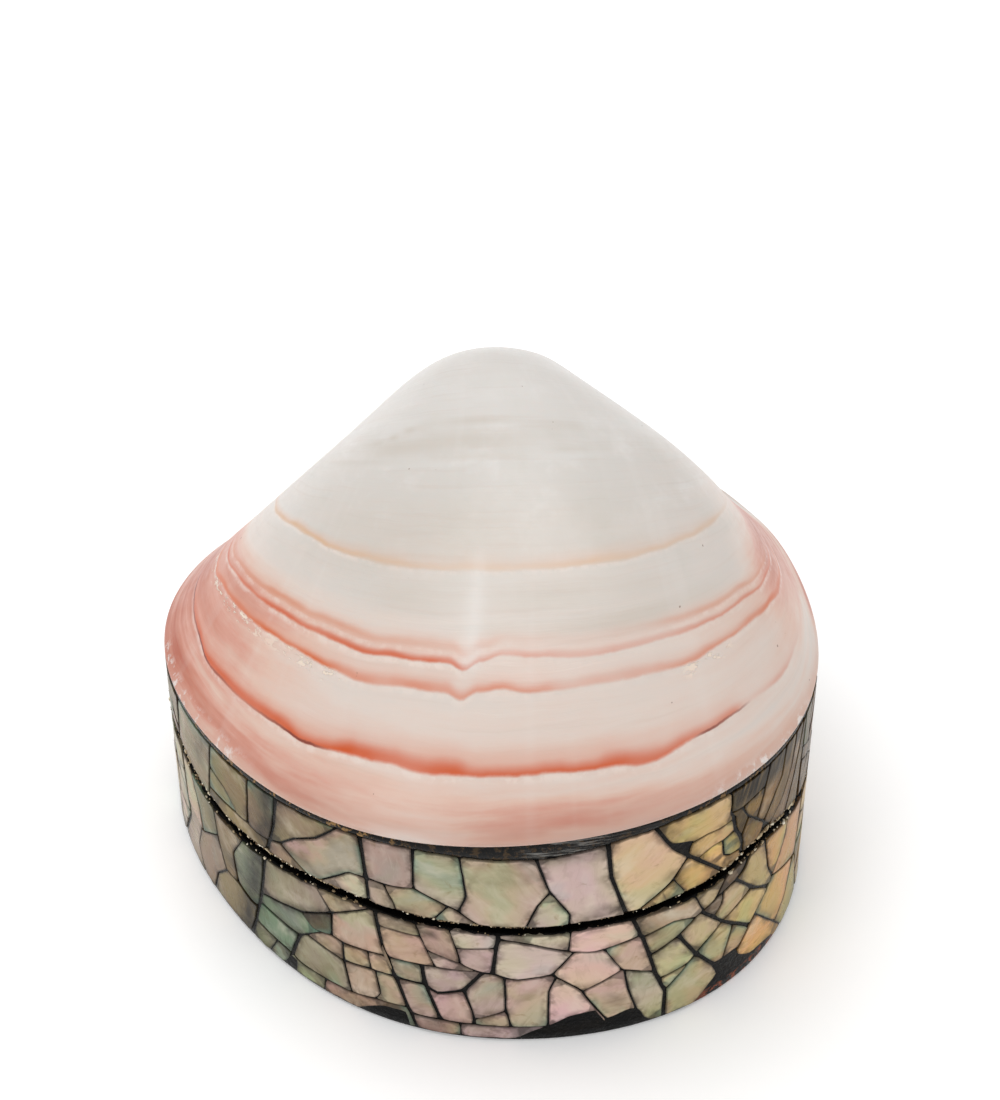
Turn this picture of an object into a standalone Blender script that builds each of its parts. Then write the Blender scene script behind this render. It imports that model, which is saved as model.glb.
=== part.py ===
"""A shell box: a small trinket box whose lid is one clam valve.

The wall of the lid and of the base is a wooden ring, skinned with plates of
mother-of-pearl bedded in black lacquer. Sizes are in millimetres, measured on
the closed box as it stands: x to the right, y to the back, z up. The lid lifts
off, so nothing here is hinged.
"""

import math

import bmesh
import bpy

MM = 0.001

# Plan outline of the wall: its radius every 30 degrees, from the back round by
# the left, and the place of its centre on the floor.
OUTLINE_RADII = (25.6, 25.3, 31.9, 32.9, 30.4, 28.4, 28.4, 28.4, 29.4, 27.1, 27.2, 27.4)
OUTLINE_HARMONICS = 5
OUTLINE_CENTRE = (2.85, -0.37)

# The valve's rim lies in a tilted plane: height at the centre, rise per millimetre.
RIM_HEIGHT = 24.9
RIM_RISE_X = 0.109
RIM_RISE_Y = -0.114

# The saw cut between lid and base: a nearly level plane with a hand-cut wander,
# and bumps as (plan angle, width in degrees, rise).
SEAM_HEIGHT = 15.3
SEAM_RISE_X = 0.015
SEAM_RISE_Y = -0.028
SEAM_WANDER = ((2, -0.77, -0.54), (3, 0.26, -0.25))
SEAM_BUMPS = (
    (192.0, 7.0, 0.9), (214.0, 12.0, -0.7), (242.0, 10.0, 0.5), (278.0, 10.0, -0.4),
    (325.0, 11.0, 1.5),
)
SEAM_PLAY = 0.15
KERF = 1.2

# The valve, a spiral about the hinge line at its back. Each growth line is the rim
# turned about that line and shrunk. Turns are radians from the rim. Width shrinks
# more slowly than length, and the young valve was narrower and more swollen.
HINGE_X = 6.0
HINGE_SETBACK = 0.4
SPIRAL_RATE = 0.988
WIDTH_POWER = 0.816
INFLATION = 1.073
YOUNG_TURN = 1.25
YOUNG_SPREAD = 0.364
YOUNG_WAIST = 0.21
YOUNG_SWELL = 0.167
DRIFT_WITH_WIDTH = -31.4
DRIFT_WITH_LENGTH = 19.6
CURL_START = 1.7
CURL_RATE = 2.5
CURL_END = 2.45

# The hollow inside the valve.
VALVE_EDGE = 2.4
HINGE_PLATE = 7.0
CAVITY_RATE = 0.25
CAVITY_END = 1.1
CAVITY_RINGS = 9

# Growth stops, where the valve paused: turn from the rim in radians, step in mm.
GROWTH_STOPS = ((0.084, 0.18), (0.195, 0.14), (0.242, 0.14), (0.401, 0.08))
STEP_RUN = 0.006
STEP_FADE = 0.06
RINGS_PER_STOP = 2
SMOOTH_TURNS = (0.52, 0.65, 0.80, 0.95, 1.10, 1.25, 1.40, 1.55, 1.72, 1.90, 2.10)

# Wooden walls, measured inwards from the outline.
PLATE_THICKNESS = 0.7
GAP = 0.3
CORE_FACE = PLATE_THICKNESS + GAP
LID_WALL = 2.2
LIP_PLAY = 0.35
LIP_WALL = 1.2
LIP_RISE = 2.5
FLOOR = 2.5
FOOT_CHAMFER = 0.5
FLOOR_FILLET = 0.8

# The black bead of filler under the valve's edge, deepest at the front.
BEAD_INSET = 0.15
BEAD_DEPTH = 0.5
BEAD_SWELL = 1.3
BEAD_SWELL_AT = 278.0
BEAD_SWELL_WIDTH = 17.0

# Mother-of-pearl plates. Joints are plan angles in degrees, at the top and at the
# bottom of each course: the front ones stand where they show, the rest are even.
LID_FRONT_JOINTS = (
    (207.2, 205.4), (227.2, 224.0), (246.0, 247.0), (256.0, 256.2), (264.4, 264.8),
    (278.4, 284.0), (290.8, 294.6), (300.0, 310.0), (314.4, 319.0),
)
BASE_FRONT_JOINTS = (
    (206.4, 204.5), (223.4, 217.6), (248.2, 255.6), (258.0, 266.0),
    (271.0, 274.0), (284.0, 289.0), (296.0, 303.0), (310.0, 320.0),
)
LID_PLATES = 18
BASE_PLATES = 18
BACK_JOINT_SLANT = 1.5
FOOT_MARGIN = 0.7
COURSE_HEIGHT = 9.4
COURSE_STAGGER = 0.8
PLATE_STEP_DEGREES = 6.0

# Bare patches along the foot, where plates have flaked off: plan angle, width, height.
BARE_PATCHES = ((250.0, 5.0, 1.2), (288.0, 9.0, 1.9), (317.0, 5.0, 3.4))

SEGMENTS = 64
FULL_TURN = 360.0


def cyclic_bump(angle, centre, width):
    """1 at the centre angle and falling to 0, in degrees."""
    away = (angle - centre + FULL_TURN / 2) % FULL_TURN - FULL_TURN / 2
    return math.exp(-(away / width) ** 2)


def outline_terms():
    """Fourier terms of the outline's radius, from the measured radii."""
    count = len(OUTLINE_RADII)
    terms = [(sum(OUTLINE_RADII) / count, 0.0)]
    for order in range(1, OUTLINE_HARMONICS + 1):
        turns = [2 * math.pi * order * index / count for index in range(count)]
        cosine = sum(r * math.cos(turn) for r, turn in zip(OUTLINE_RADII, turns))
        sine = sum(r * math.sin(turn) for r, turn in zip(OUTLINE_RADII, turns))
        terms.append((2 * cosine / count, 2 * sine / count))
    return terms


TERMS = outline_terms()


def outline_point(angle, inset=0.0):
    """Point of the plan outline at a plan angle, moved squarely inwards by inset."""
    turn = math.radians(angle - 90.0)
    radius = 0.0
    slope = 0.0
    for order, (cosine, sine) in enumerate(TERMS):
        radius += cosine * math.cos(order * turn) + sine * math.sin(order * turn)
        slope += order * (sine * math.cos(order * turn) - cosine * math.sin(order * turn))
    along = math.radians(angle)
    out_x, out_y = math.cos(along), math.sin(along)
    normal_x = radius * out_x + slope * out_y
    normal_y = radius * out_y - slope * out_x
    length = math.hypot(normal_x, normal_y)
    return (
        radius * out_x - inset * normal_x / length,
        radius * out_y - inset * normal_y / length,
    )


def rim_height(x, y):
    return RIM_HEIGHT + RIM_RISE_X * x + RIM_RISE_Y * y


def seam_height(x, y):
    angle = math.atan2(y, x)
    height = SEAM_HEIGHT + SEAM_RISE_X * x + SEAM_RISE_Y * y
    for order, cosine, sine in SEAM_WANDER:
        height += cosine * math.cos(order * angle) + sine * math.sin(order * angle)
    for centre, width, rise in SEAM_BUMPS:
        height += rise * cyclic_bump(math.degrees(angle), centre, width)
    return height


def bead_depth(angle):
    return BEAD_DEPTH + BEAD_SWELL * cyclic_bump(angle, BEAD_SWELL_AT, BEAD_SWELL_WIDTH)


def foot_height(angle):
    """Lower edge of the plates, raised where they have flaked off."""
    height = FOOT_MARGIN
    for centre, width, rise in BARE_PATCHES:
        height += rise * cyclic_bump(angle, centre, width)
    return height


def ring_angles():
    return [FULL_TURN * index / SEGMENTS for index in range(SEGMENTS)]


HINGE_Y = max(outline_point(angle)[1] for angle in ring_angles()) + HINGE_SETBACK
VALVE_LENGTH = HINGE_Y - min(outline_point(angle)[1] for angle in ring_angles())


def shifted(x, y, z):
    """A point of the box, in metres, about the centre of its footprint."""
    return ((x + OUTLINE_CENTRE[0]) * MM, (y + OUTLINE_CENTRE[1]) * MM, z * MM)


def make_material(name, colour, roughness, metallic=0.0):
    material = bpy.data.materials.new(name)
    material.use_nodes = True
    shader = material.node_tree.nodes["Principled BSDF"]
    shader.inputs["Base Color"].default_value = (*colour, 1.0)
    shader.inputs["Roughness"].default_value = roughness
    shader.inputs["Metallic"].default_value = metallic
    material.diffuse_color = (*colour, 1.0)
    return material


def finish_object(name, bm, material, smooth_below=40.0):
    """Turn a finished bmesh into a named object with outward faces."""
    bmesh.ops.recalc_face_normals(bm, faces=bm.faces)
    mesh = bpy.data.meshes.new(name)
    bm.to_mesh(mesh)
    bm.free()
    mesh.materials.append(material)
    mesh.shade_smooth()
    mesh.set_sharp_from_angle(angle=math.radians(smooth_below))
    piece = bpy.data.objects.new(name, mesh)
    bpy.context.scene.collection.objects.link(piece)
    return piece


def add_loop(bm, points):
    return [bm.verts.new(shifted(*point)) for point in points]


def skin(bm, first, second, closed=True):
    """Quads between two rows of vertices of the same length."""
    count = len(first)
    for index in range(count if closed else count - 1):
        after = (index + 1) % count
        bm.faces.new((first[index], first[after], second[after], second[index]))


def wall_loop(inset, height):
    """One turn of the wall at an inset, at a height given by angle, x and y."""
    points = []
    for angle in ring_angles():
        x, y = outline_point(angle, inset)
        points.append((x, y, height(angle, x, y)))
    return points


def ring_solid(name, section, material):
    """A closed ring whose cross-section is a list of loops."""
    bm = bmesh.new()
    loops = [add_loop(bm, points) for points in section]
    for index, loop in enumerate(loops):
        skin(bm, loop, loops[(index + 1) % len(loops)])
    return finish_object(name, bm, material)


def capped_solid(name, section, material):
    """A solid skinned over a list of loops and closed at its first and last."""
    bm = bmesh.new()
    loops = [add_loop(bm, points) for points in section]
    for first, second in zip(loops, loops[1:]):
        skin(bm, first, second)
    bm.faces.new(loops[0])
    bm.faces.new(loops[-1])
    return finish_object(name, bm, material)


def build_base_tray(material):
    """Wooden tray: floor, wall up to the saw cut and the lip that locates the lid."""
    lip_face = CORE_FACE + LID_WALL + LIP_PLAY
    inner_face = lip_face + LIP_WALL

    def ledge(angle, x, y):
        return seam_height(x, y) - SEAM_PLAY

    def lip_top(angle, x, y):
        return seam_height(x, y) + LIP_RISE

    section = [
        wall_loop(CORE_FACE + FOOT_CHAMFER, lambda angle, x, y: 0.0),
        wall_loop(CORE_FACE, lambda angle, x, y: FOOT_CHAMFER),
        wall_loop(CORE_FACE, ledge),
        wall_loop(lip_face, ledge),
        wall_loop(lip_face, lip_top),
        wall_loop(inner_face, lip_top),
        wall_loop(inner_face, lambda angle, x, y: FLOOR + FLOOR_FILLET),
        wall_loop(inner_face + FLOOR_FILLET, lambda angle, x, y: FLOOR),
    ]
    return capped_solid("base_tray", section, material)


def build_lid_ring(material):
    """Wooden ring of the lid, from the saw cut up to the valve."""
    inner_face = CORE_FACE + LID_WALL

    def bottom(angle, x, y):
        return seam_height(x, y) + SEAM_PLAY

    def top(angle, x, y):
        return rim_height(x, y) - GAP

    section = [
        wall_loop(CORE_FACE, bottom),
        wall_loop(CORE_FACE, top),
        wall_loop(inner_face, top),
        wall_loop(inner_face, bottom),
    ]
    return ring_solid("lid_ring", section, material)


def build_filler_bead(material):
    """Black filler between the valve's edge and the plates of the lid."""

    def top(angle, x, y):
        return rim_height(x, y) - GAP

    def bottom(angle, x, y):
        return top(angle, x, y) - bead_depth(angle)

    section = [
        wall_loop(BEAD_INSET, bottom),
        wall_loop(BEAD_INSET, top),
        wall_loop(PLATE_THICKNESS, top),
        wall_loop(PLATE_THICKNESS, bottom),
    ]
    return ring_solid("filler_bead", section, material)


def valve_scale(turn):
    """Length of the growth line at a turn from the rim, against the rim itself."""
    curl = CURL_RATE * max(0.0, turn - CURL_START) ** 2
    return math.exp(-SPIRAL_RATE * turn - curl)


def growth_step(turn):
    """How far the growth stops lift the surface there, in millimetres."""
    lift = 0.0
    for stop, depth in GROWTH_STOPS:
        if turn >= stop:
            lift += depth * math.exp(-(turn - stop) / STEP_FADE)
    return lift


def growth_line(rim, turn, size=1.0, least=0.0):
    """The rim's points carried to a turn, and sized about the hinge line.

    least keeps them that far in front of the hinge line.
    """
    scale = valve_scale(turn)
    young = math.exp(-((turn - YOUNG_TURN) / YOUNG_SPREAD) ** 2)
    width = scale ** WIDTH_POWER * (1 - YOUNG_WAIST * young)
    rise = INFLATION * (1 + YOUNG_SWELL * young)
    pivot_x = HINGE_X + DRIFT_WITH_WIDTH * (1 - width) + DRIFT_WITH_LENGTH * (1 - scale)
    points = []
    for x, y in rim:
        line_x = pivot_x + (x - HINGE_X) * width * size
        out = max(least, (HINGE_Y - y) * scale * size)
        line_y = HINGE_Y - out * math.cos(turn)
        up = out * rise * math.sin(turn)
        points.append((line_x, line_y, rim_height(line_x, line_y) + up))
    return points


def valve_turns():
    """Turns of the outer growth lines: two at each stop, even ones between."""
    turns = [0.0]
    for stop, _ in GROWTH_STOPS:
        start = turns[-1]
        span = stop - STEP_RUN - start
        for index in range(1, RINGS_PER_STOP + 1):
            turns.append(start + span * index / RINGS_PER_STOP)
        turns.append(stop)
    return turns + list(SMOOTH_TURNS) + [CURL_END]


def build_shell_valve(material):
    """The clam valve: a hollow dome whose rim lies on the ring of the lid."""
    outer_rim = [outline_point(angle) for angle in ring_angles()]
    inner_rim = [outline_point(angle, VALVE_EDGE) for angle in ring_angles()]
    outer = []
    for turn in valve_turns():
        lift = growth_step(turn) / (VALVE_LENGTH * valve_scale(turn))
        outer.append(growth_line(outer_rim, turn, 1.0 + lift))
    cavity = []
    for index in range(CAVITY_RINGS):
        turn = CAVITY_END * index / (CAVITY_RINGS - 1)
        size = math.exp(-CAVITY_RATE * turn)
        cavity.append(growth_line(inner_rim, turn, size, HINGE_PLATE))
    return capped_solid("shell_valve", outer[::-1] + cavity, material)


def joint_ring(front, count):
    """Front joints as stated, then even ones round the back, as one turn of joints."""
    joints = list(front)
    hidden = count - len(front)
    top_start, bottom_start = front[-1]
    top_span = front[0][0] + FULL_TURN - top_start
    bottom_span = front[0][1] + FULL_TURN - bottom_start
    for index in range(1, hidden + 1):
        part = index / (hidden + 1)
        slant = BACK_JOINT_SLANT if index % 2 else -BACK_JOINT_SLANT
        joints.append((
            top_start + top_span * part + slant,
            bottom_start + bottom_span * part - slant,
        ))
    joints.append((front[0][0] + FULL_TURN, front[0][1] + FULL_TURN))
    return joints


def gap_degrees(angle):
    """Half a joint, as a plan angle."""
    return math.degrees(GAP / 2 / math.hypot(*outline_point(angle)))


def build_plate(name, left, right, bottom, top, material):
    """A curved slab on the wall.

    left and right are plan angles as (at the top, at the bottom); bottom and top
    give a height from an angle, x and y.
    """
    left_top, left_bottom = (edge + gap_degrees(edge) for edge in left)
    right_top, right_bottom = (edge - gap_degrees(edge) for edge in right)
    columns = max(2, round((right_top - left_top) / PLATE_STEP_DEGREES))
    bm = bmesh.new()
    rows = []
    for inset in (0.0, PLATE_THICKNESS):
        for from_angle, to_angle, height in (
            (left_bottom, right_bottom, bottom),
            (left_top, right_top, top),
        ):
            points = []
            for index in range(columns + 1):
                angle = from_angle + (to_angle - from_angle) * index / columns
                x, y = outline_point(angle, inset)
                points.append((x, y, height(angle, x, y)))
            rows.append(add_loop(bm, points))
    outer_bottom, outer_top, inner_bottom, inner_top = rows
    skin(bm, outer_bottom, outer_top, closed=False)
    skin(bm, outer_top, inner_top, closed=False)
    skin(bm, inner_top, inner_bottom, closed=False)
    skin(bm, inner_bottom, outer_bottom, closed=False)
    for end in (0, -1):
        bm.faces.new((outer_bottom[end], outer_top[end], inner_top[end], inner_bottom[end]))
    return finish_object(name, bm, material)


def build_lid_plates(material):
    """One course of plates round the lid, between the saw cut and the bead."""

    def bottom(angle, x, y):
        return seam_height(x, y) + KERF / 2

    def top(angle, x, y):
        return rim_height(x, y) - 2 * GAP - bead_depth(angle)

    joints = joint_ring(LID_FRONT_JOINTS, LID_PLATES)
    for index in range(LID_PLATES):
        name = f"lid_plate_{index + 1:02d}"
        build_plate(name, joints[index], joints[index + 1], bottom, top, material)


def build_base_plates(material):
    """Two courses of plates round the base, between the foot and the saw cut."""
    joints = joint_ring(BASE_FRONT_JOINTS, BASE_PLATES)
    for index in range(BASE_PLATES):
        stagger = COURSE_STAGGER if index % 2 else -COURSE_STAGGER
        middle = COURSE_HEIGHT + stagger
        left, right = joints[index], joints[index + 1]
        left_middle = split_joint(left, middle)
        right_middle = split_joint(right, middle)

        def foot(angle, x, y):
            return foot_height(angle)

        def below(angle, x, y, middle=middle):
            return middle - GAP / 2

        def above(angle, x, y, middle=middle):
            return middle + GAP / 2

        def top(angle, x, y):
            return seam_height(x, y) - KERF / 2

        number = f"{index + 1:02d}"
        build_plate(
            f"base_plate_low_{number}",
            (left_middle, left[1]), (right_middle, right[1]), foot, below, material,
        )
        build_plate(
            f"base_plate_high_{number}",
            (left[0], left_middle), (right[0], right_middle), above, top, material,
        )


def split_joint(joint, height):
    """Plan angle of a slanting base joint at a height."""
    top, bottom = joint
    return bottom + (top - bottom) * height / SEAM_HEIGHT


def main():
    for old in list(bpy.data.objects):
        bpy.data.objects.remove(old, do_unlink=True)
    wood = make_material("lacquered_wood", (0.018, 0.014, 0.013), 0.35)
    lacquer = make_material("black_lacquer", (0.008, 0.008, 0.010), 0.18)
    nacre = make_material("mother_of_pearl", (0.56, 0.52, 0.43), 0.22)
    shell = make_material("polished_shell", (0.76, 0.57, 0.50), 0.25)
    build_base_tray(wood)
    build_lid_ring(wood)
    build_filler_bead(lacquer)
    build_lid_plates(nacre)
    build_base_plates(nacre)
    build_shell_valve(shell)


main()
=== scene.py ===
"""A shell box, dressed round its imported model.

The lid's top is one polished clam valve. The walls carry a crackle mosaic of
mother-of-pearl chips, bedded in black lacquer and sawn through between lid and
base. Sizes are in millimetres unless a name says otherwise.
"""

import math
import random

import bmesh
import bpy
import numpy as np
from mathutils import Matrix, Vector, noise
from mathutils.geometry import delaunay_2d_cdt


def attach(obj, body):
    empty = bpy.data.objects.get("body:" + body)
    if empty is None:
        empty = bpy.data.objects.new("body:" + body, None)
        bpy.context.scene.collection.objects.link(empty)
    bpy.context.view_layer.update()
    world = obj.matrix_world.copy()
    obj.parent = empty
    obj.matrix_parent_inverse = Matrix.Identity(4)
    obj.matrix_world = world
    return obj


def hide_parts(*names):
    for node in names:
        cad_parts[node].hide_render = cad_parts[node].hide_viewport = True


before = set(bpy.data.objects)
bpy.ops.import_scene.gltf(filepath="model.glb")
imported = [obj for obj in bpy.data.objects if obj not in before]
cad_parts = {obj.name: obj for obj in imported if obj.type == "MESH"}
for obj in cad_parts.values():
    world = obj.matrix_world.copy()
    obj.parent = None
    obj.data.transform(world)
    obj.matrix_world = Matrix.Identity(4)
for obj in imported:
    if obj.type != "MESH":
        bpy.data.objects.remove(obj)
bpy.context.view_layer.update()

MM = 0.001
FULL_TURN = 360.0
BACK_ANGLE = 90.0
FRONT_ANGLE = 270.0
BODY = "root"

# The wall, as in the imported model: plan outline, rim plane, saw cut.
OUTLINE_RADII = (25.6, 25.3, 31.9, 32.9, 30.4, 28.4, 28.4, 28.4, 29.4, 27.1, 27.2, 27.4)
OUTLINE_HARMONICS = 5
OUTLINE_CENTRE = (2.85, -0.37)
RIM_HEIGHT = 24.9
RIM_RISE_X = 0.109
RIM_RISE_Y = -0.114
SEAM_HEIGHT = 15.3
SEAM_RISE_X = 0.015
SEAM_RISE_Y = -0.028
SEAM_WANDER = ((2, -0.77, -0.54), (3, 0.26, -0.25))
SEAM_BUMPS = (
    (192.0, 7.0, 0.9), (214.0, 12.0, -0.7), (242.0, 10.0, 0.5), (278.0, 10.0, -0.4),
    (325.0, 11.0, 1.5),
)
GAP = 0.3
BEAD_DEPTH = 0.5
BEAD_SWELL = 1.3
BEAD_SWELL_AT = 278.0
BEAD_SWELL_WIDTH = 17.0

# The valve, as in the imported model: a spiral about the hinge line.
HINGE_X = 6.0
HINGE_SETBACK = 0.4
SPIRAL_RATE = 0.988
WIDTH_POWER = 0.816
INFLATION = 1.073
YOUNG_TURN = 1.25
YOUNG_SPREAD = 0.364
YOUNG_WAIST = 0.21
YOUNG_SWELL = 0.167
DRIFT_WITH_WIDTH = -31.4
DRIFT_WITH_LENGTH = 19.6
CURL_START = 1.7
CURL_RATE = 2.5
CURL_END = 2.45
VALVE_EDGE = 2.4
HINGE_PLATE = 7.0
CAVITY_RATE = 0.25
CAVITY_END = 1.1

# The photograph's view.
PHOTO_WIDTH = 1000
PHOTO_HEIGHT = 1100
SENSOR_WIDTH = 36.0
FOCAL_PIXELS = 3375.5
VIEW_ELEVATION = 46.0
VIEW_YAW = -5.052
VIEW_DISTANCE = 330.0
VIEW_ASIDE = -1.589
VIEW_UP = 25.0


def linear(*shade):
    """A colour given as 0 to 255 on the screen, as linear light."""
    channels = []
    for channel in shade:
        part = channel / 255.0
        channels.append(part / 12.92 if part <= 0.04045 else ((part + 0.055) / 1.055) ** 2.4)
    return tuple(channels)


# How the studio light shows a matt surface: the light on the valve and on the wall,
# and the haze that reflections lay over both.
TOP_LIGHT = 1.10
WALL_LIGHT = 0.92
HAZE = 0.035
DARKEST = 0.004


def under_light(shade, light):
    return tuple(max(DARKEST, channel - HAZE) / light for channel in linear(*shade))


def on_top(*shade):
    """Colour of the valve that shows as a shade under the studio light."""
    return under_light(shade, TOP_LIGHT)


def on_wall(*shade):
    """Colour of the wall that shows as a shade under the studio light."""
    return under_light(shade, WALL_LIGHT)


# The shape of the wall

def ease(value, low, high):
    """Smooth step from 0 at low to 1 at high."""
    part = np.clip((value - low) / (high - low), 0.0, 1.0)
    return part * part * (3 - 2 * part)


def bell(value, centre, width):
    """1 at the centre and falling to 0 on both sides."""
    return np.exp(-((value - centre) / width) ** 2)


def cyclic_bump(angle, centre, width):
    """A bell round the box, in degrees."""
    away = (np.asarray(angle) - centre + FULL_TURN / 2) % FULL_TURN - FULL_TURN / 2
    return bell(away, 0.0, width)


def cyclic_curve(angle, stops):
    """Smooth curve round the box through (angle, value) stops, angles rising."""
    angles = [stop[0] for stop in stops]
    values = [stop[1] for stop in stops]
    angles = [angles[-1] - FULL_TURN] + angles + [angles[0] + FULL_TURN]
    values = [values[-1]] + values + [values[0]]
    wrapped = (np.asarray(angle, dtype=float) - stops[0][0]) % FULL_TURN + stops[0][0]
    index = np.clip(np.searchsorted(angles, wrapped, side="right") - 1, 0, len(angles) - 2)
    low, high = np.take(values, index), np.take(values, index + 1)
    return low + (high - low) * ease(wrapped, np.take(angles, index), np.take(angles, index + 1))


def outline_terms():
    """Fourier terms of the outline's radius, from its fitted radii."""
    count = len(OUTLINE_RADII)
    terms = [(sum(OUTLINE_RADII) / count, 0.0)]
    for order in range(1, OUTLINE_HARMONICS + 1):
        turns = [2 * math.pi * order * index / count for index in range(count)]
        cosine = sum(r * math.cos(turn) for r, turn in zip(OUTLINE_RADII, turns))
        sine = sum(r * math.sin(turn) for r, turn in zip(OUTLINE_RADII, turns))
        terms.append((2 * cosine / count, 2 * sine / count))
    return terms


TERMS = outline_terms()


def outline(angle, inset=0.0):
    """x and y of the plan outline at plan angles, moved squarely inwards by inset."""
    turn = np.radians(np.asarray(angle, dtype=float) - BACK_ANGLE)
    radius = np.zeros_like(turn)
    slope = np.zeros_like(turn)
    for order, (cosine, sine) in enumerate(TERMS):
        radius += cosine * np.cos(order * turn) + sine * np.sin(order * turn)
        slope += order * (sine * np.cos(order * turn) - cosine * np.sin(order * turn))
    along = np.radians(angle)
    out_x, out_y = np.cos(along), np.sin(along)
    normal_x = radius * out_x + slope * out_y
    normal_y = radius * out_y - slope * out_x
    length = np.hypot(normal_x, normal_y)
    return (
        radius * out_x - inset * normal_x / length,
        radius * out_y - inset * normal_y / length,
    )


def rim_height(x, y):
    return RIM_HEIGHT + RIM_RISE_X * x + RIM_RISE_Y * y


def seam_height(x, y):
    angle = np.arctan2(y, x)
    height = SEAM_HEIGHT + SEAM_RISE_X * x + SEAM_RISE_Y * y
    for order, cosine, sine in SEAM_WANDER:
        height = height + cosine * np.cos(order * angle) + sine * np.sin(order * angle)
    for centre, width, rise in SEAM_BUMPS:
        height = height + rise * cyclic_bump(np.degrees(angle), centre, width)
    return height


def bead_depth(angle):
    return BEAD_DEPTH + BEAD_SWELL * cyclic_bump(angle, BEAD_SWELL_AT, BEAD_SWELL_WIDTH)


# Distance along the wall, from the front and positive to the right, against plan angle.
TABLE_STEP = 0.25
TABLE_REACH = 270.0


def wall_table():
    angles = np.arange(FRONT_ANGLE - TABLE_REACH, FRONT_ANGLE + TABLE_REACH + TABLE_STEP, TABLE_STEP)
    x, y = outline(angles)
    steps = np.hypot(np.diff(x), np.diff(y))
    lengths = np.concatenate([[0.0], np.cumsum(steps)])
    return angles, lengths - np.interp(FRONT_ANGLE, angles, lengths)


TABLE_ANGLES, TABLE_LENGTHS = wall_table()
PERIMETER = float(
    np.interp(FRONT_ANGLE + FULL_TURN / 2, TABLE_ANGLES, TABLE_LENGTHS)
    - np.interp(FRONT_ANGLE - FULL_TURN / 2, TABLE_ANGLES, TABLE_LENGTHS)
)


def angle_at(along):
    return np.interp(along, TABLE_LENGTHS, TABLE_ANGLES)


def wall_points(along, height, depth):
    """Points of the box in metres from distance along the wall, height and depth."""
    x, y = outline(angle_at(along), depth)
    return placed(x, y, height)


def placed(x, y, z):
    x, y, z = np.broadcast_arrays(x, y, z)
    return np.stack([x + OUTLINE_CENTRE[0], y + OUTLINE_CENTRE[1], z], axis=-1) * MM


def seam_along(along):
    return seam_height(*outline(angle_at(along)))


def rim_along(along):
    return rim_height(*outline(angle_at(along)))


SEED_STEP_Y = 7.31
SEED_STEP_Z = 1.7


def rough(values, scale, seed):
    """Smooth noise from -1 to 1 at each value of a line."""
    place = (seed * SEED_STEP_Y, seed * SEED_STEP_Z)
    return np.array([noise.noise(Vector((value * scale, *place))) for value in values])


def noise_field(x, y, z):
    """Smooth noise from -1 to 1 over arrays of points."""
    flat = zip(x.ravel().tolist(), y.ravel().tolist(), z.ravel().tolist())
    values = [noise.noise(Vector(point)) for point in flat]
    return np.array(values).reshape(x.shape)


# Meshes

def column_angles(count):
    """Plan angles of even columns round the box, from the back."""
    return np.linspace(0.0, FULL_TURN, count, endpoint=False) + BACK_ANGLE


def new_object(name, points, faces, material, sharp=40.0, smooth=True):
    mesh = bpy.data.meshes.new(name)
    mesh.from_pydata(np.asarray(points).reshape(-1, 3).tolist(), [], faces)
    mesh.validate()
    mesh.materials.append(material)
    if smooth:
        mesh.shade_smooth()
        mesh.set_sharp_from_angle(angle=math.radians(sharp))
    piece = bpy.data.objects.new(name, mesh)
    bpy.context.scene.collection.objects.link(piece)
    return piece


def store(piece, name, values, kind="FLOAT"):
    """Keep one number, vector or colour for each vertex, for the materials to read."""
    attribute = piece.data.attributes.new(name, kind, "POINT")
    key = {"FLOAT": "value", "FLOAT_VECTOR": "vector", "FLOAT_COLOR": "color"}[kind]
    attribute.data.foreach_set(key, np.asarray(values, dtype=np.float32).ravel())


def grid_faces(rows, columns, closed_rows=False):
    """Quads of a grid whose columns run round the box."""
    faces = []
    for row in range(rows if closed_rows else rows - 1):
        after_row = (row + 1) % rows
        for column in range(columns):
            after = (column + 1) % columns
            faces.append((
                row * columns + column, row * columns + after,
                after_row * columns + after, after_row * columns + column,
            ))
    return faces


def outward(piece):
    """Turn every face outwards."""
    bm = bmesh.new()
    bm.from_mesh(piece.data)
    bmesh.ops.recalc_face_normals(bm, faces=bm.faces)
    bm.to_mesh(piece.data)
    bm.free()


def finish_piece(piece, slot, *nodes):
    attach(piece, BODY)
    if nodes:
        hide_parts(*nodes)


# Materials

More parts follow.
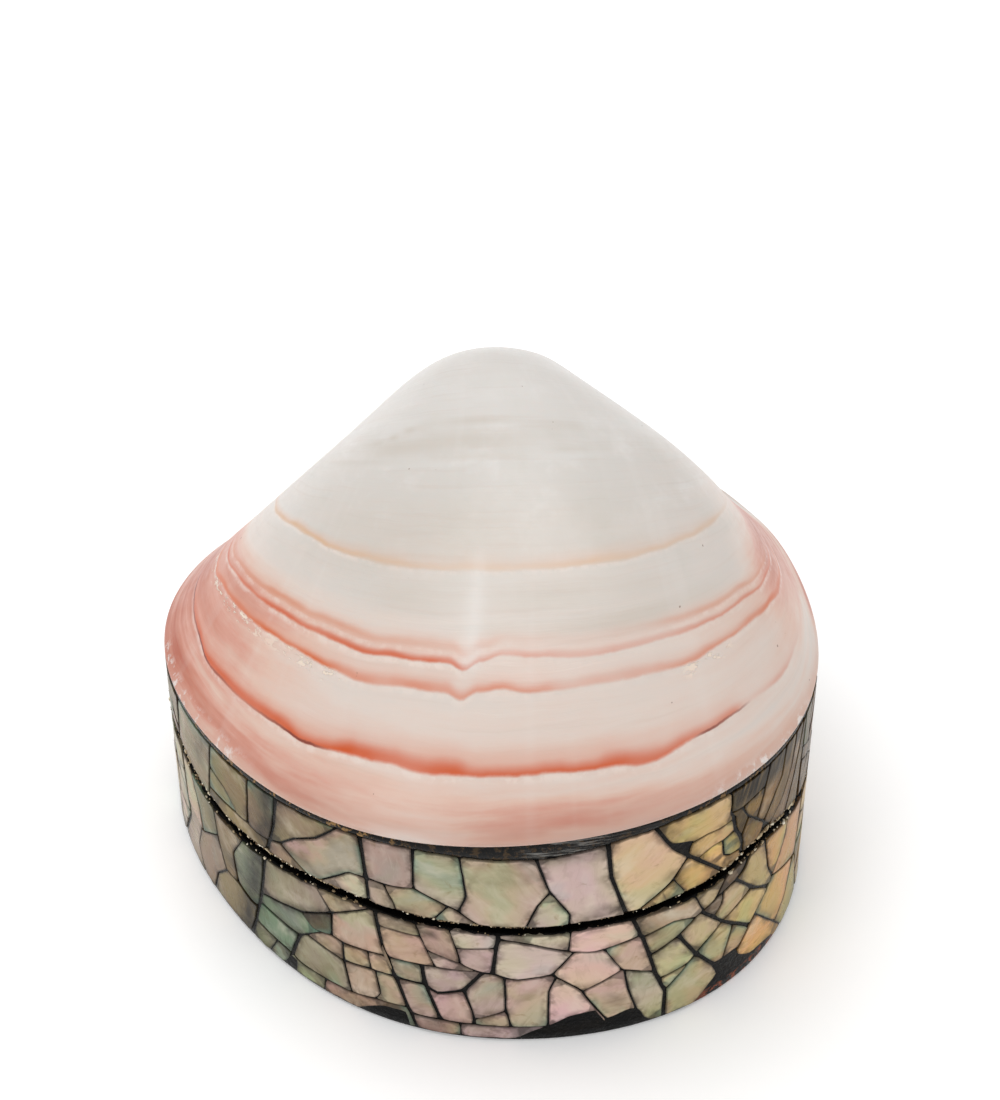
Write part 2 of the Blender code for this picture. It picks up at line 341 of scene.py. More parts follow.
class Shader:
    """A node material, built from sockets and plain values."""

    def __init__(self, name):
        self.material = bpy.data.materials.new(name)
        self.material.use_nodes = True
        self.tree = self.material.node_tree
        self.surface = self.tree.nodes["Principled BSDF"]

    def feed(self, socket, value):
        if isinstance(value, bpy.types.NodeSocket):
            self.tree.links.new(value, socket)
        elif isinstance(value, (tuple, list)) and len(socket.default_value) == 4:
            socket.default_value = (*value[:3], 1.0)
        else:
            socket.default_value = value

    def set(self, **values):
        for name, value in values.items():
            self.feed(self.surface.inputs[name.replace("_", " ").title().replace("Ior", "IOR")], value)

    def attribute(self, name, output="Fac"):
        node = self.tree.nodes.new("ShaderNodeAttribute")
        node.attribute_name = name
        return node.outputs[output]

    def math(self, operation, first, second=0.0, clamp=False):
        node = self.tree.nodes.new("ShaderNodeMath")
        node.operation = operation
        node.use_clamp = clamp
        self.feed(node.inputs[0], first)
        self.feed(node.inputs[1], second)
        return node.outputs[0]

    def add(self, first, second):
        return self.math("ADD", first, second)

    def times(self, first, second, clamp=False):
        return self.math("MULTIPLY", first, second, clamp)

    def vector(self, operation, first, second):
        node = self.tree.nodes.new("ShaderNodeVectorMath")
        node.operation = operation
        self.feed(node.inputs[0], first)
        self.feed(node.inputs[1], second)
        return node.outputs[0]

    def noise(self, vector, scale=1.0, detail=2.0, roughness=0.5, distortion=0.0, output="Fac"):
        node = self.tree.nodes.new("ShaderNodeTexNoise")
        self.feed(node.inputs["Vector"], vector)
        node.inputs["Scale"].default_value = scale
        node.inputs["Detail"].default_value = detail
        node.inputs["Roughness"].default_value = roughness
        node.inputs["Distortion"].default_value = distortion
        return node.outputs[output]

    def stretched(self, vector, waves, *details):
        """Noise with its own waves per millimetre along each axis."""
        return self.noise(self.vector("MULTIPLY", vector, waves), 1.0, *details)

    def centred(self, vector, scale, *details):
        """Noise from -0.5 to 0.5."""
        return self.add(self.noise(vector, scale, *details), -0.5)

    def ramp(self, factor, stops):
        """Colour ramp through (position, colour) stops."""
        node = self.tree.nodes.new("ShaderNodeValToRGB")
        self.feed(node.inputs[0], factor)
        elements = node.color_ramp.elements
        while len(elements) < len(stops):
            elements.new(0.5)
        for element, (position, colour) in zip(elements, stops):
            element.position = position
            element.color = (*colour, 1.0)
        return node.outputs[0]

    def remap(self, value, low, high, to_low=0.0, to_high=1.0):
        """Smooth step from one range to another."""
        node = self.tree.nodes.new("ShaderNodeMapRange")
        node.interpolation_type = "SMOOTHSTEP"
        self.feed(node.inputs["Value"], value)
        for name, number in (
            ("From Min", low), ("From Max", high), ("To Min", to_low), ("To Max", to_high),
        ):
            node.inputs[name].default_value = number
        return node.outputs["Result"]

    def between(self, value, rise, fall):
        """1 between a rise and a fall, each as its two ends."""
        return self.times(self.remap(value, *rise), self.remap(value, *fall, 1.0, 0.0))

    def mix(self, factor, first, second, blend="MIX"):
        node = self.tree.nodes.new("ShaderNodeMix")
        node.data_type = "RGBA"
        node.blend_type = blend
        self.feed(node.inputs[0], factor)
        self.feed(node.inputs[6], first)
        self.feed(node.inputs[7], second)
        return node.outputs[2]

    def washed(self, colour, washes, within=None):
        """Lay washes of (value, low, high, strength, shade) over a colour."""
        for value, low, high, strength, shade in washes:
            factor = self.remap(value, low, high, 0.0, strength)
            if within is not None:
                factor = self.times(within, factor)
            colour = self.mix(factor, colour, shade)
        return colour

    def bump(self, height, distance_mm):
        node = self.tree.nodes.new("ShaderNodeBump")
        node.inputs["Strength"].default_value = 1.0
        node.inputs["Distance"].default_value = distance_mm * MM
        self.feed(node.inputs["Height"], height)
        return node.outputs[0]

    def place(self):
        """Place on the object, in millimetres."""
        node = self.tree.nodes.new("ShaderNodeTexCoord")
        return self.vector("MULTIPLY", node.outputs["Object"], (1 / MM, 1 / MM, 1 / MM))

    def height(self, place):
        node = self.tree.nodes.new("ShaderNodeSeparateXYZ")
        self.feed(node.inputs[0], place)
        return node.outputs[2]


# The valve

VALVE_COLUMNS = 420
FINE_TURN_END = 0.52
FINE_ROWS = 130
COARSE_ROWS = 66
CAVITY_ROWS = 10
STEP_RUN = 0.010
STEP_FADE = 0.06
ROW_STRETCH = 1.6
INNER_TURN = 1.2
FLANK_SWELL = 0.18
FLANK_ANGLE = 0.0
FLANK_WIDTH = 12.0
FLANK_TURN = 0.5
FLANK_SPREAD = 0.12
SHOULDER_INSET = 0.36
SHOULDER_ANGLE = 43.0
SHOULDER_WIDTH = 10.0
FURROW_DEPTH = 0.10
FURROW_ANGLE = 263.5
FURROW_WIDTH = 2.6
FURROW_START = (0.1, 0.2)
FURROW_FINISH = (0.35, 0.6)
RAY_ANGLE = 264.0
RAY_WIDTH = 2.2
RAY_START = (0.2, 0.26)
RAY_FINISH = (0.32, 0.5)

# Low relief of the growth lines: height, waves round, waves per turn and shift.
GROWTH_RELIEF = ((0.05, 2.2, 34, 0), (0.022, 3.5, 95, 9))
RELIEF_FADE = 1.5

# Rubbed stretches of the rim: (angle, strength) stops and the turns they fade over.
RUBBED_RIM = (
    (((178, 0.0), (184, 1.0), (212, 0.8), (222, 0.0)), (0.004, 0.03)),
    (((308, 0.0), (317, 1.0), (334, 1.0), (342, 0.0)), (0.002, 0.018)),
)
EDGE_HEIGHT = 0.25
EDGE_FADE = 0.05
EDGE_SECTION = ((0.30, 0.0), (0.08, 0.03), (0.01, 0.10), (0.0, 0.19))

# Growth bands: where each one's sharp lower edge lies, as (plan angle, turn), how
# strongly it shows, the height of its step, its reach upwards and its colour.
BAND_LINES = (
    (
        (150, 0.11), (180, 0.107), (190, 0.103), (200, 0.089), (225, 0.088), (230, 0.084),
        (240, 0.091), (250, 0.092), (257, 0.086), (264, 0.088), (280, 0.088), (290, 0.084),
        (300, 0.077), (312, 0.091), (322, 0.094), (334, 0.086), (350, 0.084), (400, 0.10),
    ),
    (
        (150, 0.18), (180, 0.193), (190, 0.208), (220, 0.208), (232, 0.200), (240, 0.194),
        (250, 0.199), (259, 0.197), (262.5, 0.187), (266, 0.200), (271, 0.205),
        (277, 0.199), (300, 0.199), (312, 0.197), (322, 0.206), (330, 0.206),
        (340, 0.197), (350, 0.18), (362, 0.167), (400, 0.16),
    ),
    (
        (150, 0.225), (180, 0.24), (190, 0.252), (210, 0.252), (225, 0.246), (240, 0.239),
        (250, 0.242), (259, 0.241), (262.5, 0.230), (266, 0.246), (271, 0.256),
        (277, 0.250), (290, 0.243), (305, 0.247), (330, 0.250), (342, 0.24),
        (362, 0.22), (400, 0.21),
    ),
    (
        (150, 0.47), (180, 0.45), (190, 0.437), (200, 0.433), (210, 0.425), (220, 0.413),
        (230, 0.407), (240, 0.401), (270, 0.402), (300, 0.406), (310, 0.413),
        (320, 0.425), (330, 0.433), (340, 0.447), (362, 0.46), (400, 0.46),
    ),
)
BAND_STRENGTHS = (
    (
        (168, 0.0), (180, 0.5), (192, 1.0), (296, 1.0), (304, 0.8), (313, 0.6), (318, 0.8),
        (322, 0.15), (327, 0.2), (334, 0.4), (344, 0.12), (354, 0.0),
    ),
    (
        (140, 0.2), (165, 0.7), (182, 1.0), (228, 1.0), (236, 0.55), (262, 0.6),
        (276, 0.65), (286, 0.32), (300, 0.35), (312, 0.6),
        (330, 0.6), (346, 0.8), (362, 0.9), (382, 0.6), (398, 0.0),
    ),
    (
        (140, 0.2), (165, 0.6), (182, 1.0), (215, 0.85), (260, 0.95), (270, 0.42), (306, 0.3),
        (314, 0.5), (334, 0.55), (346, 0.8), (364, 0.9), (385, 0.5), (398, 0.0),
    ),
    (
        (150, 0.2), (172, 0.6), (186, 0.95), (220, 0.9), (236, 0.45), (274, 0.4),
        (288, 0.6), (312, 0.65), (330, 0.45), (350, 0.2), (396, 0.0),
    ),
)
BAND_WIDTHS = (
    (170, 0.6), (206, 0.62), (222, 0.75), (240, 1.0), (296, 1.0), (312, 0.9), (330, 0.7),
    (360, 0.7),
)
FLAKY_STRETCHES = (
    (170, 0.0), (176, 1.0), (202, 1.0), (212, 0.4), (222, 0.9), (232, 0.9), (238, 0.0),
    (308, 0.0), (312, 0.8), (320, 0.8), (324, 0.0),
)
BAND_STEPS = (0.15, 0.11, 0.09, 0.05)
BAND_EDGES = (0.16, 0.16, 0.13, 0.28, 0.45)
BAND_CORES = (1.25, 1.0, 0.75, 1.2, 1.0)
BAND_HALOS = (2.6, 2.1, 1.4, 2.6, 1.9)
BAND_COLOURS = (
    on_top(210, 96, 46), on_top(214, 112, 70), on_top(210, 106, 72), on_top(218, 182, 148),
    on_top(214, 142, 112),
)

# A fifth, fainter line runs a little above the third band.
FAINT_LINE_LEAD = 0.0226
FAINT_LINE_STRENGTH = (
    (150, 0.3), (180, 0.6), (200, 0.8), (240, 0.55), (262, 0.45), (276, 0.15), (300, 0.15),
    (318, 0.6), (350, 0.6), (380, 0.1), (396, 0.0),
)
BAND_LINES += (tuple((angle, turn + FAINT_LINE_LEAD) for angle, turn in BAND_LINES[2]),)
BAND_STRENGTHS += (FAINT_LINE_STRENGTH,)

# How pink the shell is away from its bands, from 0 for pearl to 1 for salmon, by turn
# (rows) and plan angle (columns).
BLUSH_ANGLES = (112, 168, 200, 234, 300, 330, 354, 372, 388, 399)
BLUSH = (
    (0.00, (0.10, 0.80, 0.70, 0.32, 0.18, 0.18, 0.12, 0.56, 0.60, 0.08)),
    (0.02, (0.10, 0.84, 0.76, 0.40, 0.32, 0.28, 0.14, 0.60, 0.64, 0.08)),
    (0.04, (0.10, 0.90, 0.78, 0.44, 0.34, 0.28, 0.14, 0.62, 0.68, 0.08)),
    (0.06, (0.10, 0.96, 0.60, 0.26, 0.14, 0.12, 0.18, 0.60, 0.70, 0.08)),
    (0.08, (0.10, 1.00, 0.58, 0.26, 0.18, 0.14, 0.22, 0.58, 0.70, 0.08)),
    (0.10, (0.10, 1.00, 0.58, 0.28, 0.22, 0.18, 0.30, 0.62, 0.80, 0.08)),
    (0.15, (0.12, 1.00, 0.56, 0.17, 0.15, 0.15, 0.48, 0.76, 0.84, 0.08)),
    (0.19, (0.14, 0.72, 0.52, 0.10, 0.11, 0.17, 0.66, 0.88, 0.84, 0.08)),
    (0.22, (0.16, 0.70, 0.66, 0.20, 0.14, 0.22, 0.84, 0.88, 0.76, 0.08)),
    (0.26, (0.16, 0.64, 0.64, 0.20, 0.12, 0.22, 0.76, 0.90, 0.80, 0.12)),
    (0.29, (0.14, 0.40, 0.36, 0.12, 0.07, 0.10, 0.62, 0.88, 0.80, 0.14)),
    (0.33, (0.10, 0.14, 0.08, 0.05, 0.05, 0.05, 0.42, 0.76, 0.70, 0.14)),
    (0.42, (0.05, 0.08, 0.05, 0.04, 0.04, 0.05, 0.18, 0.42, 0.36, 0.10)),
    (0.60, (0.02, 0.05, 0.02, 0.00, 0.00, 0.03, 0.08, 0.06, 0.05, 0.04)),
    (2.60, (0.00, 0.00, 0.00, 0.00, 0.00, 0.00, 0.00, 0.00, 0.00, 0.00)),
)
# Painted shade: the valve darkens towards its rim, where its surface turns down from the light; (angle,
# strength) stops, and the turn it fades out by.
RIM_PAINTED_SHADE = (
    (168, 0.5), (206, 0.55), (236, 0.9), (280, 1.0), (312, 0.8), (332, 0.45), (350, 0.35),
    (386, 0.5),
)
RIM_PAINTED_SHADE_END = 0.055

# Soft beige shades on the valve: (angle, turn) stops of a line, its half width in turns
# and (angle, strength) stops. The first two rows are painted shade on the middle of the
# valve's slope; the others are beige growth marks of the shell.
BEIGE_MARKS_AND_PAINTED_SHADE = (
    (
        ((200, 0.345), (262, 0.35), (320, 0.345)), 0.04,
        ((228, 0.0), (248, 0.75), (262, 0.45), (280, 0.85), (300, 0.5), (322, 0.0)),
    ),
    (
        ((200, 0.46), (262, 0.46), (320, 0.46)), 0.11,
        ((196, 0.0), (232, 0.55), (262, 0.7), (292, 0.55), (322, 0.0)),
    ),
    (
        ((200, 0.30), (262, 0.295), (290, 0.293), (320, 0.30)), 0.022,
        ((250, 0.0), (272, 0.5), (300, 0.9), (318, 0.5), (335, 0.0)),
    ),
    (
        ((190, 0.66), (225, 0.665), (262, 0.675), (300, 0.70), (330, 0.73)), 0.007,
        ((195, 0.0), (212, 0.9), (262, 0.6), (300, 0.5), (322, 0.0)),
    ),
    (
        ((190, 0.68), (215, 0.73), (240, 0.79), (262, 0.80), (285, 0.785), (310, 0.76)), 0.009,
        ((200, 0.0), (218, 0.9), (262, 0.8), (290, 0.5), (310, 0.0)),
    ),
    (
        ((190, 0.69), (225, 0.71), (262, 0.73), (300, 0.735)), 0.035,
        ((205, 0.0), (232, 0.8), (262, 0.7), (285, 0.2), (300, 0.0)),
    ),
)

RING_ANGLES = np.arange(0.0, FULL_TURN, FULL_TURN / 64)
HINGE_Y = float(outline(RING_ANGLES)[1].max()) + HINGE_SETBACK
VALVE_LENGTH = HINGE_Y - float(outline(RING_ANGLES)[1].min())


def valve_scale(turn):
    """Length of the growth line at a turn from the rim, against the rim itself."""
    curl = CURL_RATE * np.maximum(0.0, turn - CURL_START) ** 2
    return np.exp(-SPIRAL_RATE * turn - curl)


def growth_line(x, y, turn, size=1.0, least=0.0):
    """The rim's points carried to a turn, and sized about the hinge line."""
    scale = valve_scale(turn)
    young = bell(turn, YOUNG_TURN, YOUNG_SPREAD)
    width = scale ** WIDTH_POWER * (1 - YOUNG_WAIST * young)
    rise = INFLATION * (1 + YOUNG_SWELL * young)
    pivot_x = HINGE_X + DRIFT_WITH_WIDTH * (1 - width) + DRIFT_WITH_LENGTH * (1 - scale)
    line_x = pivot_x + (x - HINGE_X) * width * size
    out = np.maximum(least, (HINGE_Y - y) * scale * size)
    line_y = HINGE_Y - out * np.cos(turn)
    return line_x, line_y, rim_height(line_x, line_y) + out * rise * np.sin(turn)


def valve_rows():
    fine = np.linspace(0.0, FINE_TURN_END, FINE_ROWS)
    part = np.linspace(0.0, 1.0, COARSE_ROWS + 1)[1:]
    first_step = fine[1] - fine[0]
    span = CURL_END - FINE_TURN_END
    bend = (span - first_step * COARSE_ROWS) / span
    coarse = FINE_TURN_END + span * ((1 - bend) * part + bend * part ** ROW_STRETCH)
    return np.concatenate([fine, coarse])


def valve_lift(angle, turn):
    """How far growth stops and growth lines lift the surface, in millimetres."""
    lift = np.zeros_like(turn)
    for line, strengths, step in zip(BAND_LINES, BAND_STRENGTHS, BAND_STEPS):
        past = turn - cyclic_curve(angle, line)
        rise = ease(past, -STEP_RUN, 0.0) * np.exp(-np.maximum(0.0, past) / STEP_FADE)
        lift += step * rise * cyclic_curve(angle, strengths)
    around_x = np.cos(np.radians(angle))
    around_y = np.sin(np.radians(angle))
    fade = 1 / (1 + RELIEF_FADE * turn)
    for height, waves, layers, shift in GROWTH_RELIEF:
        lift += height * noise_field(around_x * waves + shift, around_y * waves, turn * layers) * fade
    furrow = bell(angle, FURROW_ANGLE, FURROW_WIDTH)
    furrow = furrow * ease(turn, *FURROW_START) * (1 - ease(turn, *FURROW_FINISH))
    flank = cyclic_bump(angle, FLANK_ANGLE, FLANK_WIDTH) * bell(turn, FLANK_TURN, FLANK_SPREAD)
    return lift - FURROW_DEPTH * furrow + FLANK_SWELL * flank


def shoulder_inset(angle):
    """How far the rim's edge stands in from the wall at the back right."""
    return SHOULDER_INSET * cyclic_bump(angle, SHOULDER_ANGLE, SHOULDER_WIDTH)


def valve_blush(angle, turn):
    turns = [row[0] for row in BLUSH]
    rounds = [cyclic_curve(angle, list(zip(BLUSH_ANGLES, row[1]))) for row in BLUSH]
    index = np.clip(np.searchsorted(turns, turn, side="right") - 1, 0, len(turns) - 2)
    blush = np.zeros_like(turn)
    for number in range(len(turns) - 1):
        part = np.clip((turn - turns[number]) / (turns[number + 1] - turns[number]), 0.0, 1.0)
        here = rounds[number] * (1 - part) + rounds[number + 1] * part
        blush = np.where(index == number, here, blush)
    return blush


def valve_layers(angles, turns):
    """Rings of points: the edge's section, the outside from rim to beak, the cavity."""
    inset_here = shoulder_inset(angles)
    rim_x, rim_y = outline(angles, inset_here)
    layers = []
    for inset, height in EDGE_SECTION:
        x, y = outline(angles, inset + inset_here)
        layers.append(placed(x, y, rim_height(rim_x, rim_y) + height))
    angle_grid, turn_grid = np.meshgrid(angles, turns)
    lift = valve_lift(angle_grid, turn_grid)
    size = 1 + lift / (VALVE_LENGTH * valve_scale(turn_grid))
    x, y, z = growth_line(rim_x[None, :], rim_y[None, :], turn_grid, size)
    layers.extend(placed(x, y, z + EDGE_HEIGHT * np.exp(-turn_grid / EDGE_FADE)))
    inner_x, inner_y = outline(angles, VALVE_EDGE)
    for turn in np.linspace(0.0, CAVITY_END, CAVITY_ROWS):
        shrink = math.exp(-CAVITY_RATE * turn)
        layers.append(placed(*growth_line(inner_x, inner_y, turn, shrink, HINGE_PLATE)))
    return layers


def valve_faces(outer_rows):
    faces = grid_faces(outer_rows, VALVE_COLUMNS)
    cavity_start = outer_rows * VALVE_COLUMNS
    cavity_end = cavity_start + CAVITY_ROWS * VALVE_COLUMNS
    faces.append(tuple(range(cavity_start - VALVE_COLUMNS, cavity_start)))
    for face in grid_faces(CAVITY_ROWS, VALVE_COLUMNS):
        faces.append(tuple(cavity_start + index for index in face))
    faces.append(tuple(range(cavity_end - VALVE_COLUMNS, cavity_end)))
    for column in range(VALVE_COLUMNS):
        after = (column + 1) % VALVE_COLUMNS
        faces.append((column, after, cavity_start + after, cavity_start + column))
    return faces


def store_valve(valve, angles, turns):
    """Keep what the valve's material reads at each vertex."""
    edge_turns = np.zeros(len(EDGE_SECTION))
    inner_turns = np.full(CAVITY_ROWS, INNER_TURN)
    angle, turn = np.meshgrid(angles, np.concatenate([edge_turns, turns, inner_turns]))
    store(valve, "turn", turn)
    around = np.radians(angle)
    radius = VALVE_LENGTH / 2
    growth = (radius * np.cos(around), radius * np.sin(around), VALVE_LENGTH * turn)
    store(valve, "growth", np.stack(growth, axis=-1), "FLOAT_VECTOR")
    for number, (line, strengths) in enumerate(zip(BAND_LINES, BAND_STRENGTHS), 1):
        offset = (turn - cyclic_curve(angle, line)) * VALVE_LENGTH
        store(valve, f"band_{number}", offset)
        store(valve, f"band_{number}_strength", cyclic_curve(angle, strengths))
    ray = bell(angle, RAY_ANGLE, RAY_WIDTH) * ease(turn, *RAY_START)
    rubbed = sum(
        cyclic_curve(angle, stops) * (1 - ease(turn, *fading)) for stops, fading in RUBBED_RIM)
    # Painted shade towards the rim.
    rim_zone = 1 - ease(turn, 0.0, RIM_PAINTED_SHADE_END)
    # Beige growth marks, and painted shade on the middle of the valve's slope.
    shade = np.zeros_like(turn)
    for line, half_width, strengths in BEIGE_MARKS_AND_PAINTED_SHADE:
        across = bell(turn - cyclic_curve(angle, line), 0.0, half_width)
        shade = np.maximum(shade, across * cyclic_curve(angle, strengths))
    inside = np.zeros_like(turn)
    inside[len(edge_turns) + len(turns):] = 1.0
    for name, values in (
        ("band_width", cyclic_curve(angle, BAND_WIDTHS)),
        ("blush", valve_blush(angle, turn)),
        ("ray", ray * (1 - ease(turn, *RAY_FINISH))),
        ("rubbed", rubbed),
        ("flaky", cyclic_curve(angle, FLAKY_STRETCHES)),
        ("rim_painted_shade", rim_zone * cyclic_curve(angle, RIM_PAINTED_SHADE)),
        ("shade", shade),
        ("inside", inside),
    ):
        store(valve, name, values)


def build_valve(material):
    angles = column_angles(VALVE_COLUMNS)
    turns = valve_rows()
    layers = valve_layers(angles, turns)
    faces = valve_faces(len(EDGE_SECTION) + len(turns))
    valve = new_object("valve", np.concatenate(layers), faces, material, sharp=60.0)
    outward(valve)
    store_valve(valve, angles, turns)
    return valve


BAND_WANDER = 0.35
BAND_JAG = 0.2
BAND_SOFTER_BELOW = 1.6
HALO_SHARE = 0.4
HALO_STRENGTH = 0.75
HALO_COLOUR = on_top(228, 184, 164)
FLECK_COLOUR = on_top(242, 226, 216)
# Painted shade by the rim: the colour is multiplied by this there.
RIM_DIMMING = (0.79, 0.68, 0.65)


def pearl_to_salmon(shader, bent, cloud, mottle):
    """The valve's ground colour, from the blush and streaks that sway it."""
    streaks = shader.stretched(bent, (0.09, 0.09, 0.62), 4.0, 0.6)
    rim_zone = shader.remap(shader.attribute("turn"), 0.07, 0.095, 1.0, 0.0)
    sway = shader.times(shader.add(streaks, -0.5), 1.3)
    sway = shader.add(sway, shader.times(shader.add(cloud, -0.5), 0.8))
    mottling = shader.times(shader.times(shader.add(mottle, -0.5), 2.9), rim_zone)
    sway = shader.add(sway, mottling)
    blush = shader.attribute("blush")
    blush = shader.add(blush, shader.times(sway, shader.add(shader.times(blush, 0.7), 0.05)))
    return shader.ramp(blush, (
        (0.0, on_top(217, 212, 206)), (0.14, on_top(227, 212, 202)), (0.34, on_top(227, 194, 178)),
        (0.55, on_top(219, 163, 146)), (0.8, on_top(204, 134, 113)), (1.0, on_top(190, 108, 86)),
    ))


def paint_bands(shader, colour, growth, wander, jag, patchy):
    """The growth bands, each sharp below and fading upwards."""
    flecks = shader.noise(growth, 0.8, 3.0, 0.6)
    width = shader.attribute("band_width")
    swell = shader.remap(shader.noise(growth, 0.13, 1.0), 0.35, 0.65, -0.2, 0.2)
    bands = zip(BAND_EDGES, BAND_CORES, BAND_HALOS, BAND_COLOURS)
    for number, (soft, reach, halo_reach, band_colour) in enumerate(bands, 1):
        offset = shader.add(shader.attribute(f"band_{number}"), wander)
        edge = shader.remap(shader.add(offset, jag), -soft * BAND_SOFTER_BELOW, soft)
        thick = shader.math("DIVIDE", shader.add(offset, shader.times(swell, reach)), width)
        core = shader.times(edge, shader.remap(thick, 0.05, reach, 1.0, 0.0))
        halo = shader.times(edge, shader.remap(thick, 0.0, halo_reach, 1.0, 0.0))
        strength = shader.attribute(f"band_{number}_strength")
        strength = shader.times(strength, shader.remap(patchy, 0.32, 0.6, 0.7, 1.0))
        pale = tuple(
            HALO_SHARE * band + (1 - HALO_SHARE) * light
            for band, light in zip(band_colour, HALO_COLOUR)
        )
        colour = shader.mix(shader.times(halo, shader.times(strength, HALO_STRENGTH)), colour, pale)
        colour = shader.mix(shader.times(core, strength), colour, band_colour)
        under = shader.between(offset, (-0.9, -0.35), (-0.3, -0.05))
        under = shader.times(under, shader.remap(flecks, 0.42, 0.6, 0.15, 0.6))
        colour = shader.mix(shader.times(under, strength), colour, FLECK_COLOUR)
    return colour


def valve_material():
    shader = Shader("polished_clam")
    growth = shader.attribute("growth", "Vector")
    turn = shader.attribute("turn")
    bent = shader.vector("ADD", growth, shader.noise(growth, 0.12, 2.0, output="Color"))
    fine_lines = shader.stretched(bent, (0.05, 0.05, 1.5), 3.0, 0.6)
    broad_lines = shader.stretched(bent, (0.03, 0.03, 0.13), 4.0, 0.5)
    rays = shader.stretched(growth, (0.45, 0.45, 0.02), 2.0, 0.5)
    cloud = shader.noise(growth, 0.11, 4.0, 0.6)
    mottle = shader.stretched(bent, (0.05, 0.05, 0.52), 3.0, 0.5, 0.3)
    colour = pearl_to_salmon(shader, bent, cloud, mottle)
    # Between the third and fourth bands: paler broad growth lines, with painted soft highlights and
    # painted shade in clouds.
    colour = shader.washed(colour, (
        (broad_lines, 0.52, 0.7, 0.3, on_top(230, 228, 225)),
        (cloud, 0.5, 0.3, 0.4, on_top(208, 203, 194)),
        (cloud, 0.52, 0.72, 0.5, on_top(234, 231, 228)),
    ), within=shader.remap(turn, 0.25, 0.45))
    # Painted light: lighter towards the crown, which faces the light.
    colour = shader.washed(colour, ((turn, 0.6, 0.95, 0.45, on_top(230, 226, 222)),))
    # Beige growth marks, and painted shade on the middle of the valve's slope.
    colour = shader.mix(shader.times(shader.attribute("shade"), 0.68), colour, on_top(204, 194, 182))
    colour = shader.washed(colour, (
        (fine_lines, 0.5, 0.75, 0.12, on_top(196, 172, 156)),
        (rays, 0.5, 0.72, 0.07, on_top(240, 236, 232)),
    ))

    wander = shader.times(shader.centred(growth, 0.35, 2.0), BAND_WANDER)
    jag = shader.times(shader.centred(growth, 1.1, 3.0, 0.65), BAND_JAG)
    patchy = shader.noise(growth, 0.14, 2.0)
    colour = paint_bands(shader, colour, growth, wander, jag, patchy)
    # Painted shade: darker towards the rim, unevenly with the mottling.
    dimmed = shader.mix(1.0, colour, RIM_DIMMING, "MULTIPLY")
    dim = shader.times(shader.attribute("rim_painted_shade"), shader.remap(mottle, 0.3, 0.7, 0.6, 1.2))
    colour = shader.mix(dim, colour, dimmed)

    flaky = shader.attribute("flaky")
    hair = shader.add(shader.add(shader.attribute("band_1"), wander), jag)
    hair = shader.times(shader.between(hair, (-0.2, -0.08), (0.0, 0.14)), flaky)
    hair = shader.times(hair, shader.remap(patchy, 0.4, 0.55, 0.6, 1.0))
    colour = shader.mix(hair, colour, on_top(132, 66, 38))
    flakes = shader.stretched(growth, (0.7, 0.7, 1.6), 3.0, 0.65)
    flake_zone = shader.between(shader.attribute("band_2"), (-1.6, -0.9), (-0.3, 0.1))
    flake = shader.times(shader.times(shader.remap(flakes, 0.53, 0.57), flake_zone), flaky)
    colour = shader.mix(flake, colour, on_top(244, 226, 208))

    colour = shader.mix(shader.times(shader.attribute("ray"), 0.42), colour, on_top(236, 232, 228))
    rub = shader.noise(growth, 0.9, 5.0, 0.7)
    rubbed = shader.times(shader.attribute("rubbed"), shader.remap(rub, 0.5, 0.6))
    colour = shader.mix(shader.times(rubbed, 0.75), colour, on_top(240, 236, 232))
    specks = shader.noise(growth, 1.1, 1.0, 0.4)
    colour = shader.washed(colour, ((specks, 0.825, 0.835, 0.6, on_top(120, 88, 70)),))
    colour = shader.mix(shader.times(shader.attribute("inside"), 0.75), colour, on_top(232, 218, 206))

    relief = shader.add(shader.times(fine_lines, 0.6), shader.times(rays, 0.06))
    relief = shader.add(relief, shader.times(rubbed, 0.5))
    relief = shader.add(relief, shader.times(flake, -1.2))
    gloss = shader.add(shader.remap(rub, 0.3, 0.7, 0.3, 0.42), shader.times(rubbed, 0.25))
    shader.set(base_color=colour, normal=shader.bump(relief, 0.05), roughness=gloss)
    shader.set(coat_weight=0.14, coat_roughness=0.2, subsurface_weight=0.1, subsurface_scale=0.0012)
    shader.set(subsurface_radius=(1.0, 0.55, 0.4), ior=1.5)
    return shader.material


# The mosaic, laid out over the unrolled wall as (distance along it, height).
# Cracks are measured along the wall from a mark a little to the left of the front.
CRACK_MARK = -3.6
BROAD = 0.37
PLAIN = 0.18
FINE = 0.10

